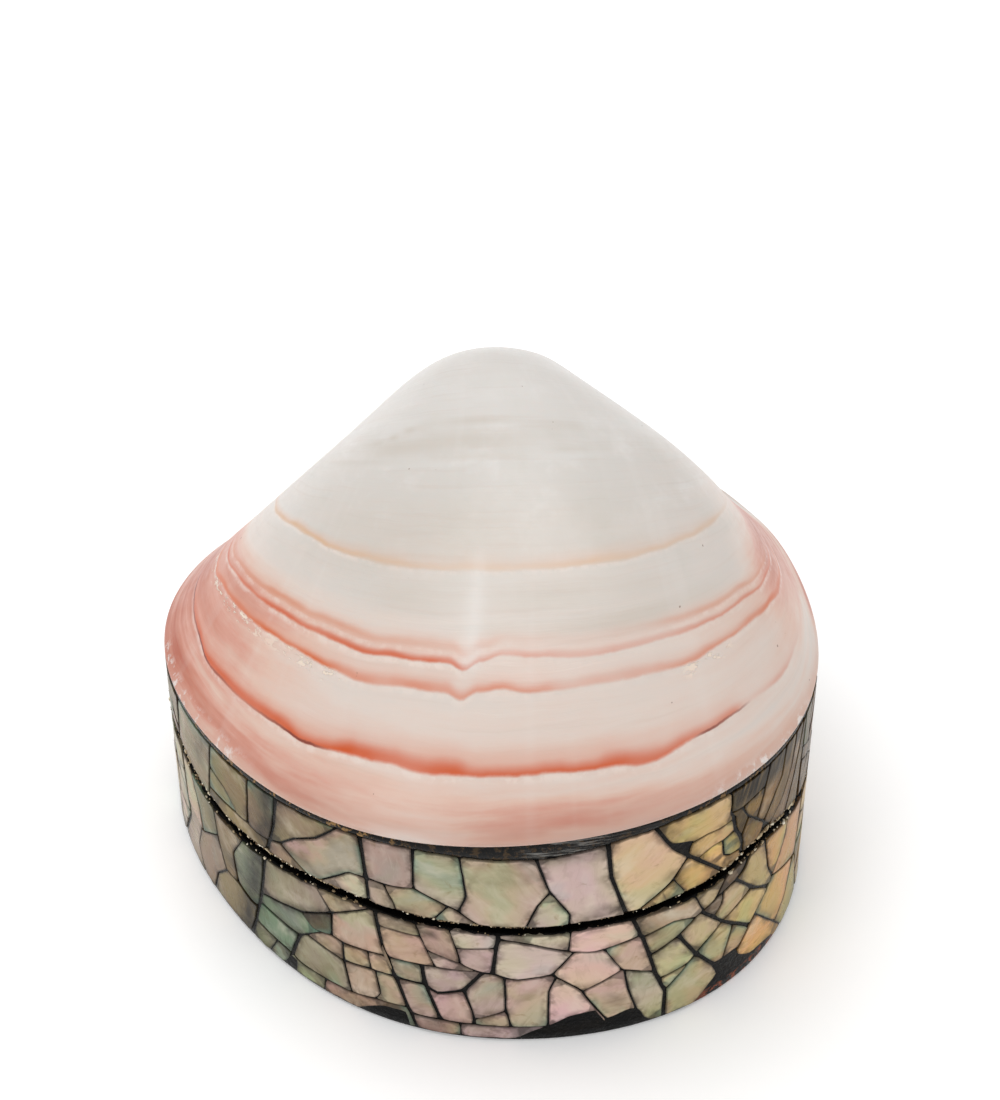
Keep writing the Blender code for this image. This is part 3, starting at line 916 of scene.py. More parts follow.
LID_CRACKS = (
    (BROAD, (
        ((-17.7, 24.3), (-18.3, 20), (-19.4, 16)),
        ((-8.4, 26.2), (-7.8, 20), (-7.6, 17.3)),
        ((14, 27.3), (14.3, 23), (15.7, 17.7)),
        ((18.3, 28), (20, 24.8), (21.5, 23), (24.7, 19.3)),
        ((26.5, 25.3), (26.7, 23.3), (27.4, 21.5), (27.7, 20.4), (27.5, 19.2)),
    )),
    (PLAIN, (
        ((-27.8, 23.3), (-28.7, 15.5)),
        ((-10.8, 25.5), (-13, 22.6), (-15.5, 20.7), (-17.5, 18.5), (-18.7, 17.7)),
        ((-12.8, 17.3), (-9.5, 20.2), (-5, 20.4), (-3.4, 20.9), (0.4, 19), (2.5, 17.2)),
        ((-3.3, 26.1), (-3.3, 20.8)),
        ((0.9, 26.5), (1.5, 21), (0.9, 18.8)),
        ((7.7, 26), (8.8, 22), (10.7, 18.5), (10.6, 17.3)),
        ((8.8, 21.8), (7.8, 20), (6.8, 17.2)),
        ((21.6, 22.8), (20, 20), (18, 18.3)),
        ((19.7, 25.4), (21.9, 24.7), (21.6, 23.2)),
        ((25.3, 22.6), (25.5, 20.4), (26.2, 19.9), (27.6, 19.9)),
        ((25.8, 29.5), (26.1, 27.2), (25.9, 25.9), (26.5, 25.0)),
        ((27.3, 25.7), (28.1, 24.0), (29.4, 22.4), (30.6, 21.0), (31.4, 19.8), (32.2, 18.4)),
        ((28.2, 23.8), (27.7, 21.5)),
        ((30.7, 21.0), (30.0, 19.3)),
        ((29.4, 22.4), (29.8, 23.7), (30.2, 25.2), (31.2, 30.5)),
        ((31.6, 19.8), (33.5, 21.6), (35.0, 24.4), (36.0, 31.0)),
    )),
    (FINE, (
        ((-21.6, 23.7), (-21.9, 17.4)),
        ((-28.3, 19.5), (-25.5, 19), (-24, 17.5), (-23.6, 16.8)),
        ((-27, 16.5), (-22, 17.4), (-20.7, 17.2), (-19, 17.6)),
        ((-17.5, 18.5), (-15.2, 17.2)),
        ((-6.1, 20.2), (-5.2, 18), (-5, 17)),
        ((-0.2, 19.1), (-1.3, 17.5)),
        ((20.2, 20.3), (21.2, 18.5), (21.5, 17.8)),
        ((21.8, 24.5), (23.5, 24.8), (24.8, 24.6), (26.4, 24.9)),
        ((22.8, 22.1), (24.1, 22.7), (25.4, 22.7), (26.6, 23.1)),
        ((26.0, 25.9), (27.4, 25.7), (29.0, 26.0), (30.5, 26.2)),
        ((30.5, 21.2), (32.0, 23.6), (33.1, 25.0), (33.8, 30.5)),
        ((34.2, 18.4), (35.8, 22.5), (37.0, 27)),
    )),
)

BASE_CRACKS = (
    (BROAD, (
        ((-19.8, 15.5), (-20.3, 11), (-21, 7), (-22, 3), (-22.7, 0)),
        ((-15.7, 6.5), (-16.8, 3), (-17.5, 0.3)),
        ((-7.2, 16.5), (-6.5, 11.5), (-5.5, 8), (-4.5, 4.5), (-3.3, 0)),
        ((-5.2, 7.2), (-2.5, 7.2), (-1.3, 6.2), (1.2, 7.3), (2.8, 9.7)),
        ((-2.7, 9.9), (-2.3, 6.8), (-1, 2.4)),
        ((4.4, 16.5), (3.8, 10)),
        ((16.5, 16.3), (17.7, 12.4), (18.3, 10), (19, 7), (20, 4), (20, 0)),
        ((21.2, 11.6), (23, 8), (25, 5)),
        ((23.5, 13.6), (26, 10.5), (28, 8.5), (29.6, 6.8)),
        ((28.7, 17.6), (28.3, 16.4), (27.3, 15.5), (30, 12), (32.5, 10)),
    )),
    (PLAIN, (
        ((-28.3, 14.0), (-27.7, 9.8), (-26.5, 6.2)),
        ((-26.7, 5.9), (-28.5, 3.5), (-29.5, 0.3)),
        ((-20.3, 8.3), (-15, 10.5), (-11.7, 12.9), (-8.5, 15.3)),
        ((-20.3, 6.8), (-15.7, 6.5), (-14.8, 7.4), (-10.7, 6.6), (-7.6, 7.1), (-5.2, 7.2)),
        ((-10.6, 9.2), (-10.6, 6.6), (-9.9, 2.5)),
        ((-11.7, 13), (-11.8, 9.5), (-10.2, 9.3), (-6, 9.9)),
        ((-22, 3.3), (-17.2, 2.9), (-16, 2.2), (-10, 2.3), (-7.8, 2.7)),
        ((-6, 9.9), (2.4, 10.3), (3.8, 10), (6, 9.2), (9, 9.8)),
        ((1.2, 7.2), (2, 4), (2.1, 2.5)),
        ((4.9, 9.6), (5, 5), (5.5, 2.2)),
        ((9.4, 9.4), (8.9, 7.5), (8.9, 2.5)),
        ((9.2, 9.9), (11.8, 7.3), (12.9, 4.9), (14.4, 1.9)),
        ((11.1, 12.9), (9.1, 9.9)),
        ((4.3, 15.2), (7, 14.6), (10.8, 13.1), (13, 12.6), (17.3, 13.6)),
        ((15.8, 9), (16.3, 6), (17.3, 2.8)),
        ((-3.6, 2.4), (5, 2.2), (8.9, 2.3)),
        ((18.7, 10.3), (21, 11.7), (23, 13.5), (25, 14.7), (27.2, 15.8)),
        ((26.0, 10.8), (29.6, 12.6)),
        ((24.9, 14.6), (25.9, 17.2)),
        ((20.3, 4.3), (23, 7.8), (25.8, 10.5)),
        ((28, 4.4), (30.5, 8), (32.3, 10), (35, 14.5), (35.5, 17.5)),
        ((31.2, 18), (32, 13), (33, 10.8), (38.5, 8.3)),
        ((30.4, 7.8), (35.3, 1.2), (35.8, 0)),
        ((37.6, 8.8), (36.2, 4.6), (34.1, 2.7)),
    )),
    (FINE, (
        ((-26.5, 6), (-24.5, 6.3), (-22.5, 5.5), (-21.2, 5.6)),
        ((-13.2, 15.2), (-11.7, 13.1)),
        ((-13, 9.1), (-14.8, 7.3)),
        ((-15.2, 10.3), (-14, 8.9), (-11.8, 9.4)),
        ((-18.8, 3.1), (-20, 0.2)),
        ((-12.8, 2.2), (-13, 0.2)),
        ((-7, 14.1), (-3, 14.1)),
        ((-3.2, 16.3), (-2.2, 12.3), (-1.4, 10.1)),
        ((-2.2, 12.4), (0.5, 11.4), (2.4, 10.3)),
        ((0.0, 16.4), (0.8, 12), (0.8, 11.2)),
        ((0.6, 13.4), (4.1, 13.9)),
        ((-8, 9.6), (-7.7, 7.1)),
        ((-7.3, 7.1), (-6.8, 3.8), (-7.4, 2.8), (-4.1, 3.1)),
        ((5.0, 4.6), (2.0, 3)),
        ((12.1, 7), (15.7, 9.2)),
        ((10.8, 15.8), (10.6, 13.1)),
        ((13.9, 12.6), (15.5, 9.5), (15.9, 9.0)),
        ((15.7, 9.1), (18.8, 7.6)),
        ((0.8, 2.3), (0.9, 0.2)),
        ((17.4, 13.3), (20.5, 14.2), (22.8, 13.4)),
        ((22.3, 17.2), (23.4, 14.2)),
        ((19.2, 6.2), (22.5, 6.9)),
        ((25.9, 15.0), (25.7, 13.4), (24.9, 12.0)),
        ((26.3, 5.0), (27.2, 9.1)),
        ((22.0, 2.2), (25.2, 4.9), (28.2, 4.8)),
        ((-34.4, 8), (-30.9, 7.2), (-27.8, 9.9)),
        ((-33.0, 14.2), (-31.6, 10.5), (-31.0, 7.3)),
        ((-24.5, 6.3), (-25.0, 10.2), (-23.2, 13.9)),
        ((-31.4, 7.1), (-32.6, 3.4), (-31.5, 0.2)),
    )),
)
DARK_CHIPS = ((20.9, 24.6), (30.9, 20.0))
DIM_CHIPS = ((26.9, 16.3), (24.7, 13.8), (-12.8, 10.4))

# Painted shade in soft dark bands beside joints, by the saw cut and under the bead:
# points along the front, half width and strength.
LID_PAINTED_SHADOWS = (
    (((-18.7, 24.5), (-19.0, 20.5), (-19.9, 17.0)), 1.7, 0.8),
    (((-28.8, 24.0), (-30.5, 18.5)), 0.9, 0.45),
    (((-21.5, 17.4), (-18.5, 16.8)), 0.8, 0.5),
    (((-12.0, 24.6), (-11.2, 23.2)), 0.7, 0.3),
    (((-16.9, 18.2), (-14.6, 18.6), (-13.4, 17.6)), 0.6, 0.45),
    (((-4.4, 18.0), (-1.9, 18.1)), 0.4, 0.7),
    (((8.9, 26.6), (13.3, 27.0)), 1.1, 0.5),
    (((12.6, 18.1), (15.3, 18.6)), 0.6, 0.8),
    (((18.7, 28.0), (20.2, 26.2)), 0.8, 0.5),
    (((20.2, 20.9), (21.0, 18.9)), 0.6, 0.5),
)
BASE_PAINTED_SHADOWS = (
    (((-20.8, 14.5), (-21.6, 10.0), (-22.6, 5.0), (-23.6, 0.5)), 1.6, 0.85),
    (((-25.8, 8.6), (-22.4, 8.0)), 1.0, 0.55),
    (((-29.0, 13.0), (-28.0, 9.0)), 0.9, 0.4),
    (((-19.0, 8.8), (-15.6, 10.3), (-12.4, 12.2)), 0.7, 0.6),
    (((-4.6, 15.0), (-1.6, 15.0)), 0.45, 0.7),
    (((17.4, 15.4), (18.4, 13.8)), 0.9, 0.5),
    (((18.8, 9.9), (21.0, 11.3)), 0.6, 0.5),
    (((14.4, 5.4), (15.8, 4.3)), 0.7, 0.45),
    (((22.0, 9.0), (24.5, 8.0)), 0.6, 0.4),
)
SMOKE_START = (22.1, 22.8)
SMOKE_END = (35.0, 44.0)
SMOKE_EDGE = (24.9, 26.4)
SMOKE_UPPER_FADE = (0.4, 29.0, 33.0)
SMOKE_LOWER = 0.12
SMOKE_LOWER_RISE = (0.3, 26.5, 30.0)
SMOKE_END_FADE = 0.8

# Places where chips have flaked off the base down to the lacquer.
BARE_OUTLINES = (
    ((-17.9, 0.1), (-17.3, 1.6), (-16.7, 2.6), (-16.3, 2.2), (-16.5, 0.1)),
    ((-9.2, 0.1), (-8.0, 1.2), (-6.6, 2.1), (-4.4, 2.3), (-4.0, 0.1)),
    (
        (5.9, 0.1), (7.5, 1.4), (9.3, 2.4), (10.8, 3.4), (13.2, 3.9), (14.2, 2.0), (16.6, 3.0),
        (17.4, 2.5), (17.9, 1.0), (18.6, 0.1),
    ),
    (
        (23.2, 0.1), (24.2, 1.3), (25.8, 2.9), (25.1, 4.8), (27.9, 4.9), (28.3, 3.5),
        (29.9, 2.1), (32.0, 1.7), (34.0, 0.9), (34.2, 0.1),
    ),
)

# Broad joints that close the stretch whose cracks are listed.
LID_STRETCH = (((-35.2, 23.0), (-36.0, 14.0)), ((38.2, 31.0), (37.2, 17.0)))
BASE_STRETCH = (
    ((-35.6, 15.0), (-34.4, 6.0), (-37.2, 0.0)), ((40.2, 19.0), (38.4, 8.4), (40.6, 0.0)),
)
STRETCH_MARGIN = 0.8

MOSAIC_SEED = 41
FOOT_EDGE = 0.38
KERF_BELOW = 0.62
KERF_ABOVE = 0.66
KERF_WIDENING = (
    (196, 0.22), (226, 0.12), (246, 0.0), (296, 0.0), (308, 0.12), (330, 0.2), (345, 0.1),
)
KERF_RISE = ((296, 0.0), (308, 0.3), (322, 0.5), (332, 0.25), (342, -0.2), (352, 0.0))
BORDER_STEP = 0.34
BORDER_ROUGH = 0.13
BACK_JOINTS = 11
CHIP_DEPTH = 0.42
CHIP_BEVEL = 0.07
CHIP_ROUND = 0.05
CHIP_STEP = 0.62
CHIP_GRID = 0.95
CHIP_ROUGH = 0.035
SMALLEST_CHIP = 0.25
CHIP_TILT = 0.013
CHIP_LIFT = (-0.02, 0.03)
GRID_SHIFT = 0.2
GRID_MARGIN = 0.35
GRAIN_SHIFT = 400
CORNER_SOFTENING = 0.16
CLOSEST_CORNERS = 0.1
NEARLY_STRAIGHT = 0.25
LONGEST_CORNER = 2.2

# How cells away from the listed cracks are cut, and the joints between them.
SPLIT_LIMITS = (9.0, 14.0, 22.0)
SPLIT_SPREAD = (0.55, 1.6)
SPLIT_TRIES = 8
SPLIT_SLANT = 0.55
SPLIT_SHIFT = 0.16
SPLIT_BEND = 0.09
SPLIT_MIDDLE = (0.35, 0.65)
SPLIT_WIDTHS = (FINE, FINE, PLAIN, 0.36)
BACK_JOINT_SHIFT = 1.6
BACK_JOINT_SLANT = 1.3
BACK_JOINT_BEND = 0.7
BACK_JOINT_LOW = -1.0
BACK_JOINT_HIGH = 32.0
BACK_JOINT_MARGIN = 2.5
CELL_MARGIN = 0.1
BED_FACE = 0.13
SLIVER_TURN = -0.26

# Tones of the mother-of-pearl along the wall, from the same mark as the cracks. They are
# partly the shell's own colours and partly painted shade: darker on the left, where the
# wall turns away from the light.
LID_TONES = (
    (-60, (164, 150, 134)), (-34, (138, 124, 104)), (-26, (146, 126, 90)), (-20, (126, 108, 78)),
    (-13, (192, 175, 158)), (-4, (166, 152, 138)), (5, (194, 184, 170)), (14, (196, 180, 168)),
    (18, (188, 168, 146)), (22, (204, 178, 126)), (28, (146, 120, 82)), (34, (120, 96, 62)),
    (42, (124, 102, 74)), (60, (148, 132, 112)),
)
BASE_TONES = (
    (-60, (170, 156, 140)), (-38, (182, 170, 156)), (-32, (154, 140, 120)), (-26, (130, 112, 80)),
    (-19, (118, 139, 120)), (-10, (174, 155, 134)), (-2, (166, 149, 138)), (8, (192, 177, 170)),
    (14, (196, 178, 166)), (18, (178, 168, 144)), (25, (186, 168, 138)), (32, (198, 164, 112)),
    (60, (166, 146, 120)),
)
TONE_BLUR = 2.5
CHIP_LIGHTNESS = (0.8, 1.16)
BRIGHTEST = 0.95
DIM_CHIP = 0.3

# Casts of pink, green, gold, blue and none that chips take.
CASTS = ((1.04, 0.96, 1.0), (0.95, 1.03, 0.98), (1.03, 1.0, 0.93), (0.98, 0.99, 1.04), (1, 1, 1))


def moved_to_front(points):
    return [(along + CRACK_MARK, height) for along, height in points]


def listed(cracks):
    """Cracks as (width, points), along the wall from the front."""
    lines = []
    for width, group in cracks:
        lines.extend((width, moved_to_front(points)) for points in group)
    return lines


def border(height, low, high, seed):
    """A ragged line along the wall at a height given by distance along it."""
    count = int((high - low) / BORDER_STEP)
    along = np.linspace(low, high, count + 1)
    values = height(along)
    fine = BORDER_ROUGH * rough(along, 2.7, seed)
    broad = 0.6 * BORDER_ROUGH * rough(along, 0.6, seed + 5)
    wild = fine + broad
    wild[0] = wild[-1] = 0.0
    return list(zip(along.tolist(), (values + wild).tolist()))


TINY = 1e-9
TINY_SQUARE = 1e-12
SLACK = 1e-6


def nearest_on(point, segments):
    """Nearest point to one on any segment, and how far it is."""
    start, end = segments[:, :2], segments[:, 2:]
    run = end - start
    part = ((point - start) * run).sum(axis=1) / np.maximum((run ** 2).sum(axis=1), TINY_SQUARE)
    close = start + run * np.clip(part, 0.0, 1.0)[:, None]
    away = np.hypot(*(close - point).T)
    best = int(away.argmin())
    return close[best], float(away[best])


def first_hit(point, heading, segments, reach):
    """Where a ray first meets a segment within reach, or None."""
    start, run = segments[:, :2], segments[:, 2:] - segments[:, :2]
    cross = heading[0] * run[:, 1] - heading[1] * run[:, 0]
    cross = np.where(abs(cross) < TINY, TINY, cross)
    offset = start - point
    far = (offset[:, 0] * run[:, 1] - offset[:, 1] * run[:, 0]) / cross
    part = (offset[:, 0] * heading[1] - offset[:, 1] * heading[0]) / cross
    good = (far > SLACK) & (far < reach) & (part >= 0) & (part <= 1)
    if not good.any():
        return None
    return point + heading * far[good].min()


# How near a line pulls a crack's loose end, how far the end looks ahead for one
# otherwise, and how far it runs past it.
SNAP = 0.6
REACH = 2.2
OVERSHOOT = 0.16


def joined_up(lines, borders):
    """Cracks with their loose ends carried to the nearest line."""
    everything = lines + borders
    pieces = []
    for number, (_, points) in enumerate(everything):
        pieces.extend((number, *first, *second) for first, second in zip(points, points[1:]))
    table = np.array(pieces)
    result = []
    for number, (width, points) in enumerate(lines):
        others = table[table[:, 0] != number][:, 1:]
        points = [np.array(point) for point in points]
        for end, before in ((0, 1), (-1, -2)):
            heading = points[end] - points[before]
            heading = heading / np.hypot(*heading)
            close, away = nearest_on(points[end], others)
            if away > SNAP:
                close = first_hit(points[end], heading, others, REACH)
            if close is not None:
                points[end] = close + heading * OVERSHOOT
        result.append((width, [tuple(point) for point in points]))
    return result


TOUCH = 0.004


def crossings_of(table):
    """Every point where segments cross or end, as points and (part, point) by segment."""
    start, run = table[:, :2], table[:, 2:4] - table[:, :2]
    points = []
    stops = [[] for _ in table]
    for index in range(len(table)):
        for part in (0.0, 1.0):
            stops[index].append((part, len(points)))
            points.append(start[index] + run[index] * part)
        offset = start[index + 1:] - start[index]
        other = run[index + 1:]
        cross = run[index, 0] * other[:, 1] - run[index, 1] * other[:, 0]
        cross = np.where(abs(cross) < TINY, TINY, cross)
        part = (offset[:, 0] * other[:, 1] - offset[:, 1] * other[:, 0]) / cross
        other_part = (offset[:, 0] * run[index, 1] - offset[:, 1] * run[index, 0]) / cross
        good = (part > -SLACK) & (part < 1 + SLACK)
        good &= (other_part > -SLACK) & (other_part < 1 + SLACK)
        for found in np.nonzero(good)[0]:
            stops[index].append((float(part[found]), len(points)))
            stops[index + 1 + found].append((float(other_part[found]), len(points)))
            points.append(start[index] + run[index] * part[found])
    return np.array(points), stops


def merged_points(points):
    """Number of the first point within touch of each point."""
    numbers = []
    for index, point in enumerate(points):
        away = np.abs(points[:index + 1] - point).max(axis=1)
        first = int(np.argmax(away < TOUCH))
        numbers.append(numbers[first] if first < index else index)
    return numbers


def cells_between(lines):
    """Closed cells among lines, as (points, widths), counterclockwise."""
    table = np.array([
        (*first, *second, width)
        for width, line in lines for first, second in zip(line, line[1:])
    ])
    verts, stops = crossings_of(table)
    numbers = merged_points(verts)
    near = {}
    for width, row in zip(table[:, 4], stops):
        chain = [numbers[point] for _, point in sorted(row)]
        for first, second in zip(chain, chain[1:]):
            if first != second:
                width_here = max(float(width), near.get(first, {}).get(second, 0.0))
                near.setdefault(first, {})[second] = width_here
                near.setdefault(second, {})[first] = width_here
    loose = [vertex for vertex in near if len(near[vertex]) < 2]
    while loose:
        vertex = loose.pop()
        for other in list(near[vertex]):
            del near[other][vertex]
            if len(near[other]) < 2:
                loose.append(other)
        near[vertex] = {}
    order = {}
    for vertex, others in near.items():
        here = verts[vertex]
        order[vertex] = sorted(
            others, key=lambda other: math.atan2(verts[other][1] - here[1], verts[other][0] - here[0]))
    cells, used = [], set()
    for first in sorted(near):
        for second in order[first]:
            if (first, second) in used:
                continue
            loop, loop_widths = [], []
            start, end = first, second
            while (start, end) not in used:
                used.add((start, end))
                loop.append(tuple(verts[start].tolist()))
                loop_widths.append(near[start][end])
                ring = order[end]
                start, end = end, ring[ring.index(start) - 1]
            if signed_area(loop) > 0:
                cells.append((loop, loop_widths))
    return cells


def signed_area(points):
    total = 0.0
    for (x1, y1), (x2, y2) in zip(points, points[1:] + points[:1]):
        total += x1 * y2 - x2 * y1
    return total / 2


def middle_of(points):
    """Centroid of a polygon."""
    area = signed_area(points)
    x = y = 0.0
    for (x1, y1), (x2, y2) in zip(points, points[1:] + points[:1]):
        cross = x1 * y2 - x2 * y1
        x += (x1 + x2) * cross
        y += (y1 + y2) * cross
    return x / (6 * area), y / (6 * area)


def split_cell(cell, limit, chance):
    """A cell cut into smaller ones by slightly bent cracks."""
    points, widths = cell
    if signed_area(points) < limit * chance.uniform(*SPLIT_SPREAD):
        return [cell]
    cloud = np.array(points) - np.mean(points, axis=0)
    _, axes = np.linalg.eigh(cloud.T @ cloud)
    long_axis = math.atan2(axes[1, 1], axes[0, 1])
    centre = np.array(middle_of(points))
    for _ in range(SPLIT_TRIES):
        heading = long_axis + math.pi / 2 + chance.uniform(-SPLIT_SLANT, SPLIT_SLANT)
        normal = np.array([-math.sin(heading), math.cos(heading)])
        shift = chance.uniform(-SPLIT_SHIFT, SPLIT_SHIFT) * math.sqrt(signed_area(points))
        away = (np.array(points) - centre) @ normal - shift
        crossings = [
            index for index in range(len(points))
            if (away[index] > 0) != (away[(index + 1) % len(points)] > 0)
        ]
        if len(crossings) != 2:
            continue
        ends = []
        for index in crossings:
            after = (index + 1) % len(points)
            part = away[index] / (away[index] - away[after])
            ends.append(tuple(np.array(points[index]) * (1 - part) + np.array(points[after]) * part))
        run = np.array(ends[1]) - np.array(ends[0])
        bend = np.array([-run[1], run[0]]) * chance.uniform(-SPLIT_BEND, SPLIT_BEND)
        middle = tuple(np.array(ends[0]) + run * chance.uniform(*SPLIT_MIDDLE) + bend)
        width = chance.choice(SPLIT_WIDTHS)
        first, second = crossings
        inner = [ends[0]] + points[first + 1:second + 1] + [ends[1], middle]
        inner_widths = widths[first:second + 1] + [width, width]
        outer = [ends[1]] + points[second + 1:] + points[:first + 1] + [ends[0], middle]
        outer_widths = widths[second:] + widths[:first + 1] + [width, width]
        parts = []
        for part in ((inner, inner_widths), (outer, outer_widths)):
            parts.extend(split_cell(part, limit, chance))
        return parts
    return [cell]


def corner_shift(before, here, after):
    """How a corner moves in from the cracks before and after it, all (point, half width)."""
    first = here[0] - before[0]
    second = after[0] - here[0]
    first = first / max(np.hypot(*first), TINY)
    second = second / max(np.hypot(*second), TINY)
    normal_a = np.array([-first[1], first[0]])
    normal_b = np.array([-second[1], second[0]])
    cross = normal_a[0] * normal_b[1] - normal_a[1] * normal_b[0]
    if abs(cross) < NEARLY_STRAIGHT:
        return normal_a * before[1] * 0.5 + normal_b * here[1] * 0.5
    shift = np.array([
        before[1] * normal_b[1] - here[1] * normal_a[1],
        here[1] * normal_a[0] - before[1] * normal_b[0],
    ]) / cross
    longest = LONGEST_CORNER * max(before[1], here[1])
    return shift * min(1.0, longest / max(np.hypot(*shift), TINY))


def flipped_edge(merged, corners):
    """Number of the first edge that turns round as its corners move in, or None."""
    for index in range(len(merged)):
        after = (index + 1) % len(merged)
        if (merged[after][0] - merged[index][0]) @ (corners[after] - corners[index]) <= 0:
            return index
    return None


def inset_cell(points, widths):
    """A cell's outline, drawn in by half of each crack's width."""
    merged = []
    for point, width in zip(points, widths):
        point = np.array(point)
        if merged and np.hypot(*(point - merged[-1][0])) < CLOSEST_CORNERS:
            merged[-1] = (merged[-1][0], width / 2)
        else:
            merged.append((point, width / 2))
    if len(merged) > 2 and np.hypot(*(merged[0][0] - merged[-1][0])) < CLOSEST_CORNERS:
        merged.pop()
    while len(merged) > 2:
        count = len(merged)
        corners = [
            merged[index][0]
            + corner_shift(merged[index - 1], merged[index], merged[(index + 1) % count])
            for index in range(count)
        ]
        flipped = flipped_edge(merged, corners)
        if flipped is None:
            return [tuple(corner) for corner in corners]
        follower = (flipped + 1) % count
        middle = (merged[flipped][0] + merged[follower][0]) / 2
        merged[flipped] = (middle, merged[follower][1])
        merged.pop(follower)
    return None


def rough_outline(points, chance):
    """An outline with even steps, softened corners and slightly uneven edges."""
    stepped = []
    for first, second in zip(points, points[1:] + points[:1]):
        first, second = np.array(first), np.array(second)
        count = max(1, round(float(np.hypot(*(second - first))) / CHIP_STEP))
        for index in range(count):
            stepped.append(first + (second - first) * index / count)
    uneven = [
        point + np.array([chance.uniform(-1, 1), chance.uniform(-1, 1)]) * CHIP_ROUGH
        for point in stepped
    ]
    soft = []
    for index, point in enumerate(uneven):
        before = uneven[index - 1]
        after = uneven[(index + 1) % len(uneven)]
        soft.append(point + (before + after - 2 * point) * CORNER_SOFTENING)
    return np.array(soft)


def drawn_in(loop, distance):
    """A loop of points moved inwards along its own normals."""
    before = np.roll(loop, 1, axis=0)
    after = np.roll(loop, -1, axis=0)
    run = after - before
    length = np.maximum(np.hypot(run[:, 0], run[:, 1]), TINY)
    normal = np.stack([-run[:, 1], run[:, 0]], axis=1) / length[:, None]
    return loop + normal * distance


def distance_to_line(points, line):
    """Distance from each point to a line of points."""
    start = line[:-1]
    run = line[1:] - start
    offset = points[:, None, :] - start[None, :, :]
    part = (offset * run[None]).sum(axis=2) / np.maximum((run ** 2).sum(axis=1), TINY_SQUARE)[None]
    close = start[None] + run[None] * np.clip(part, 0.0, 1.0)[:, :, None]
    return np.hypot(*(points[:, None, :] - close).transpose(2, 0, 1)).min(axis=1)


def distance_to_loop(points, loop):
    """Distance from each point to a closed loop."""
    return distance_to_line(points, np.vstack([loop, loop[:1]]))


def painted_shadow(points, painted_shadows):
    """How dark the painted shade makes each point of the unrolled wall."""
    dark = np.zeros(len(points))
    for line, half_width, strength in painted_shadows:
        away = distance_to_line(points, np.array(moved_to_front(line)))
        dark = np.maximum(dark, strength * np.exp(-(away / half_width) ** 2))
    return dark


def smoked(points):
    """How smoky each point of the lid's unrolled wall is, on its right."""
    along, height = points[:, 0], points[:, 1]
    loss, loss_start, loss_end = SMOKE_UPPER_FADE
    gain, gain_start, gain_end = SMOKE_LOWER_RISE
    upper = ease(height, *SMOKE_EDGE) * (1 - loss * ease(along, loss_start, loss_end))
    lower = SMOKE_LOWER + gain * ease(along, gain_start, gain_end)
    fade = 1 - SMOKE_END_FADE * ease(along, *SMOKE_END)
    return ease(along, *SMOKE_START) * fade * np.maximum(upper, lower)


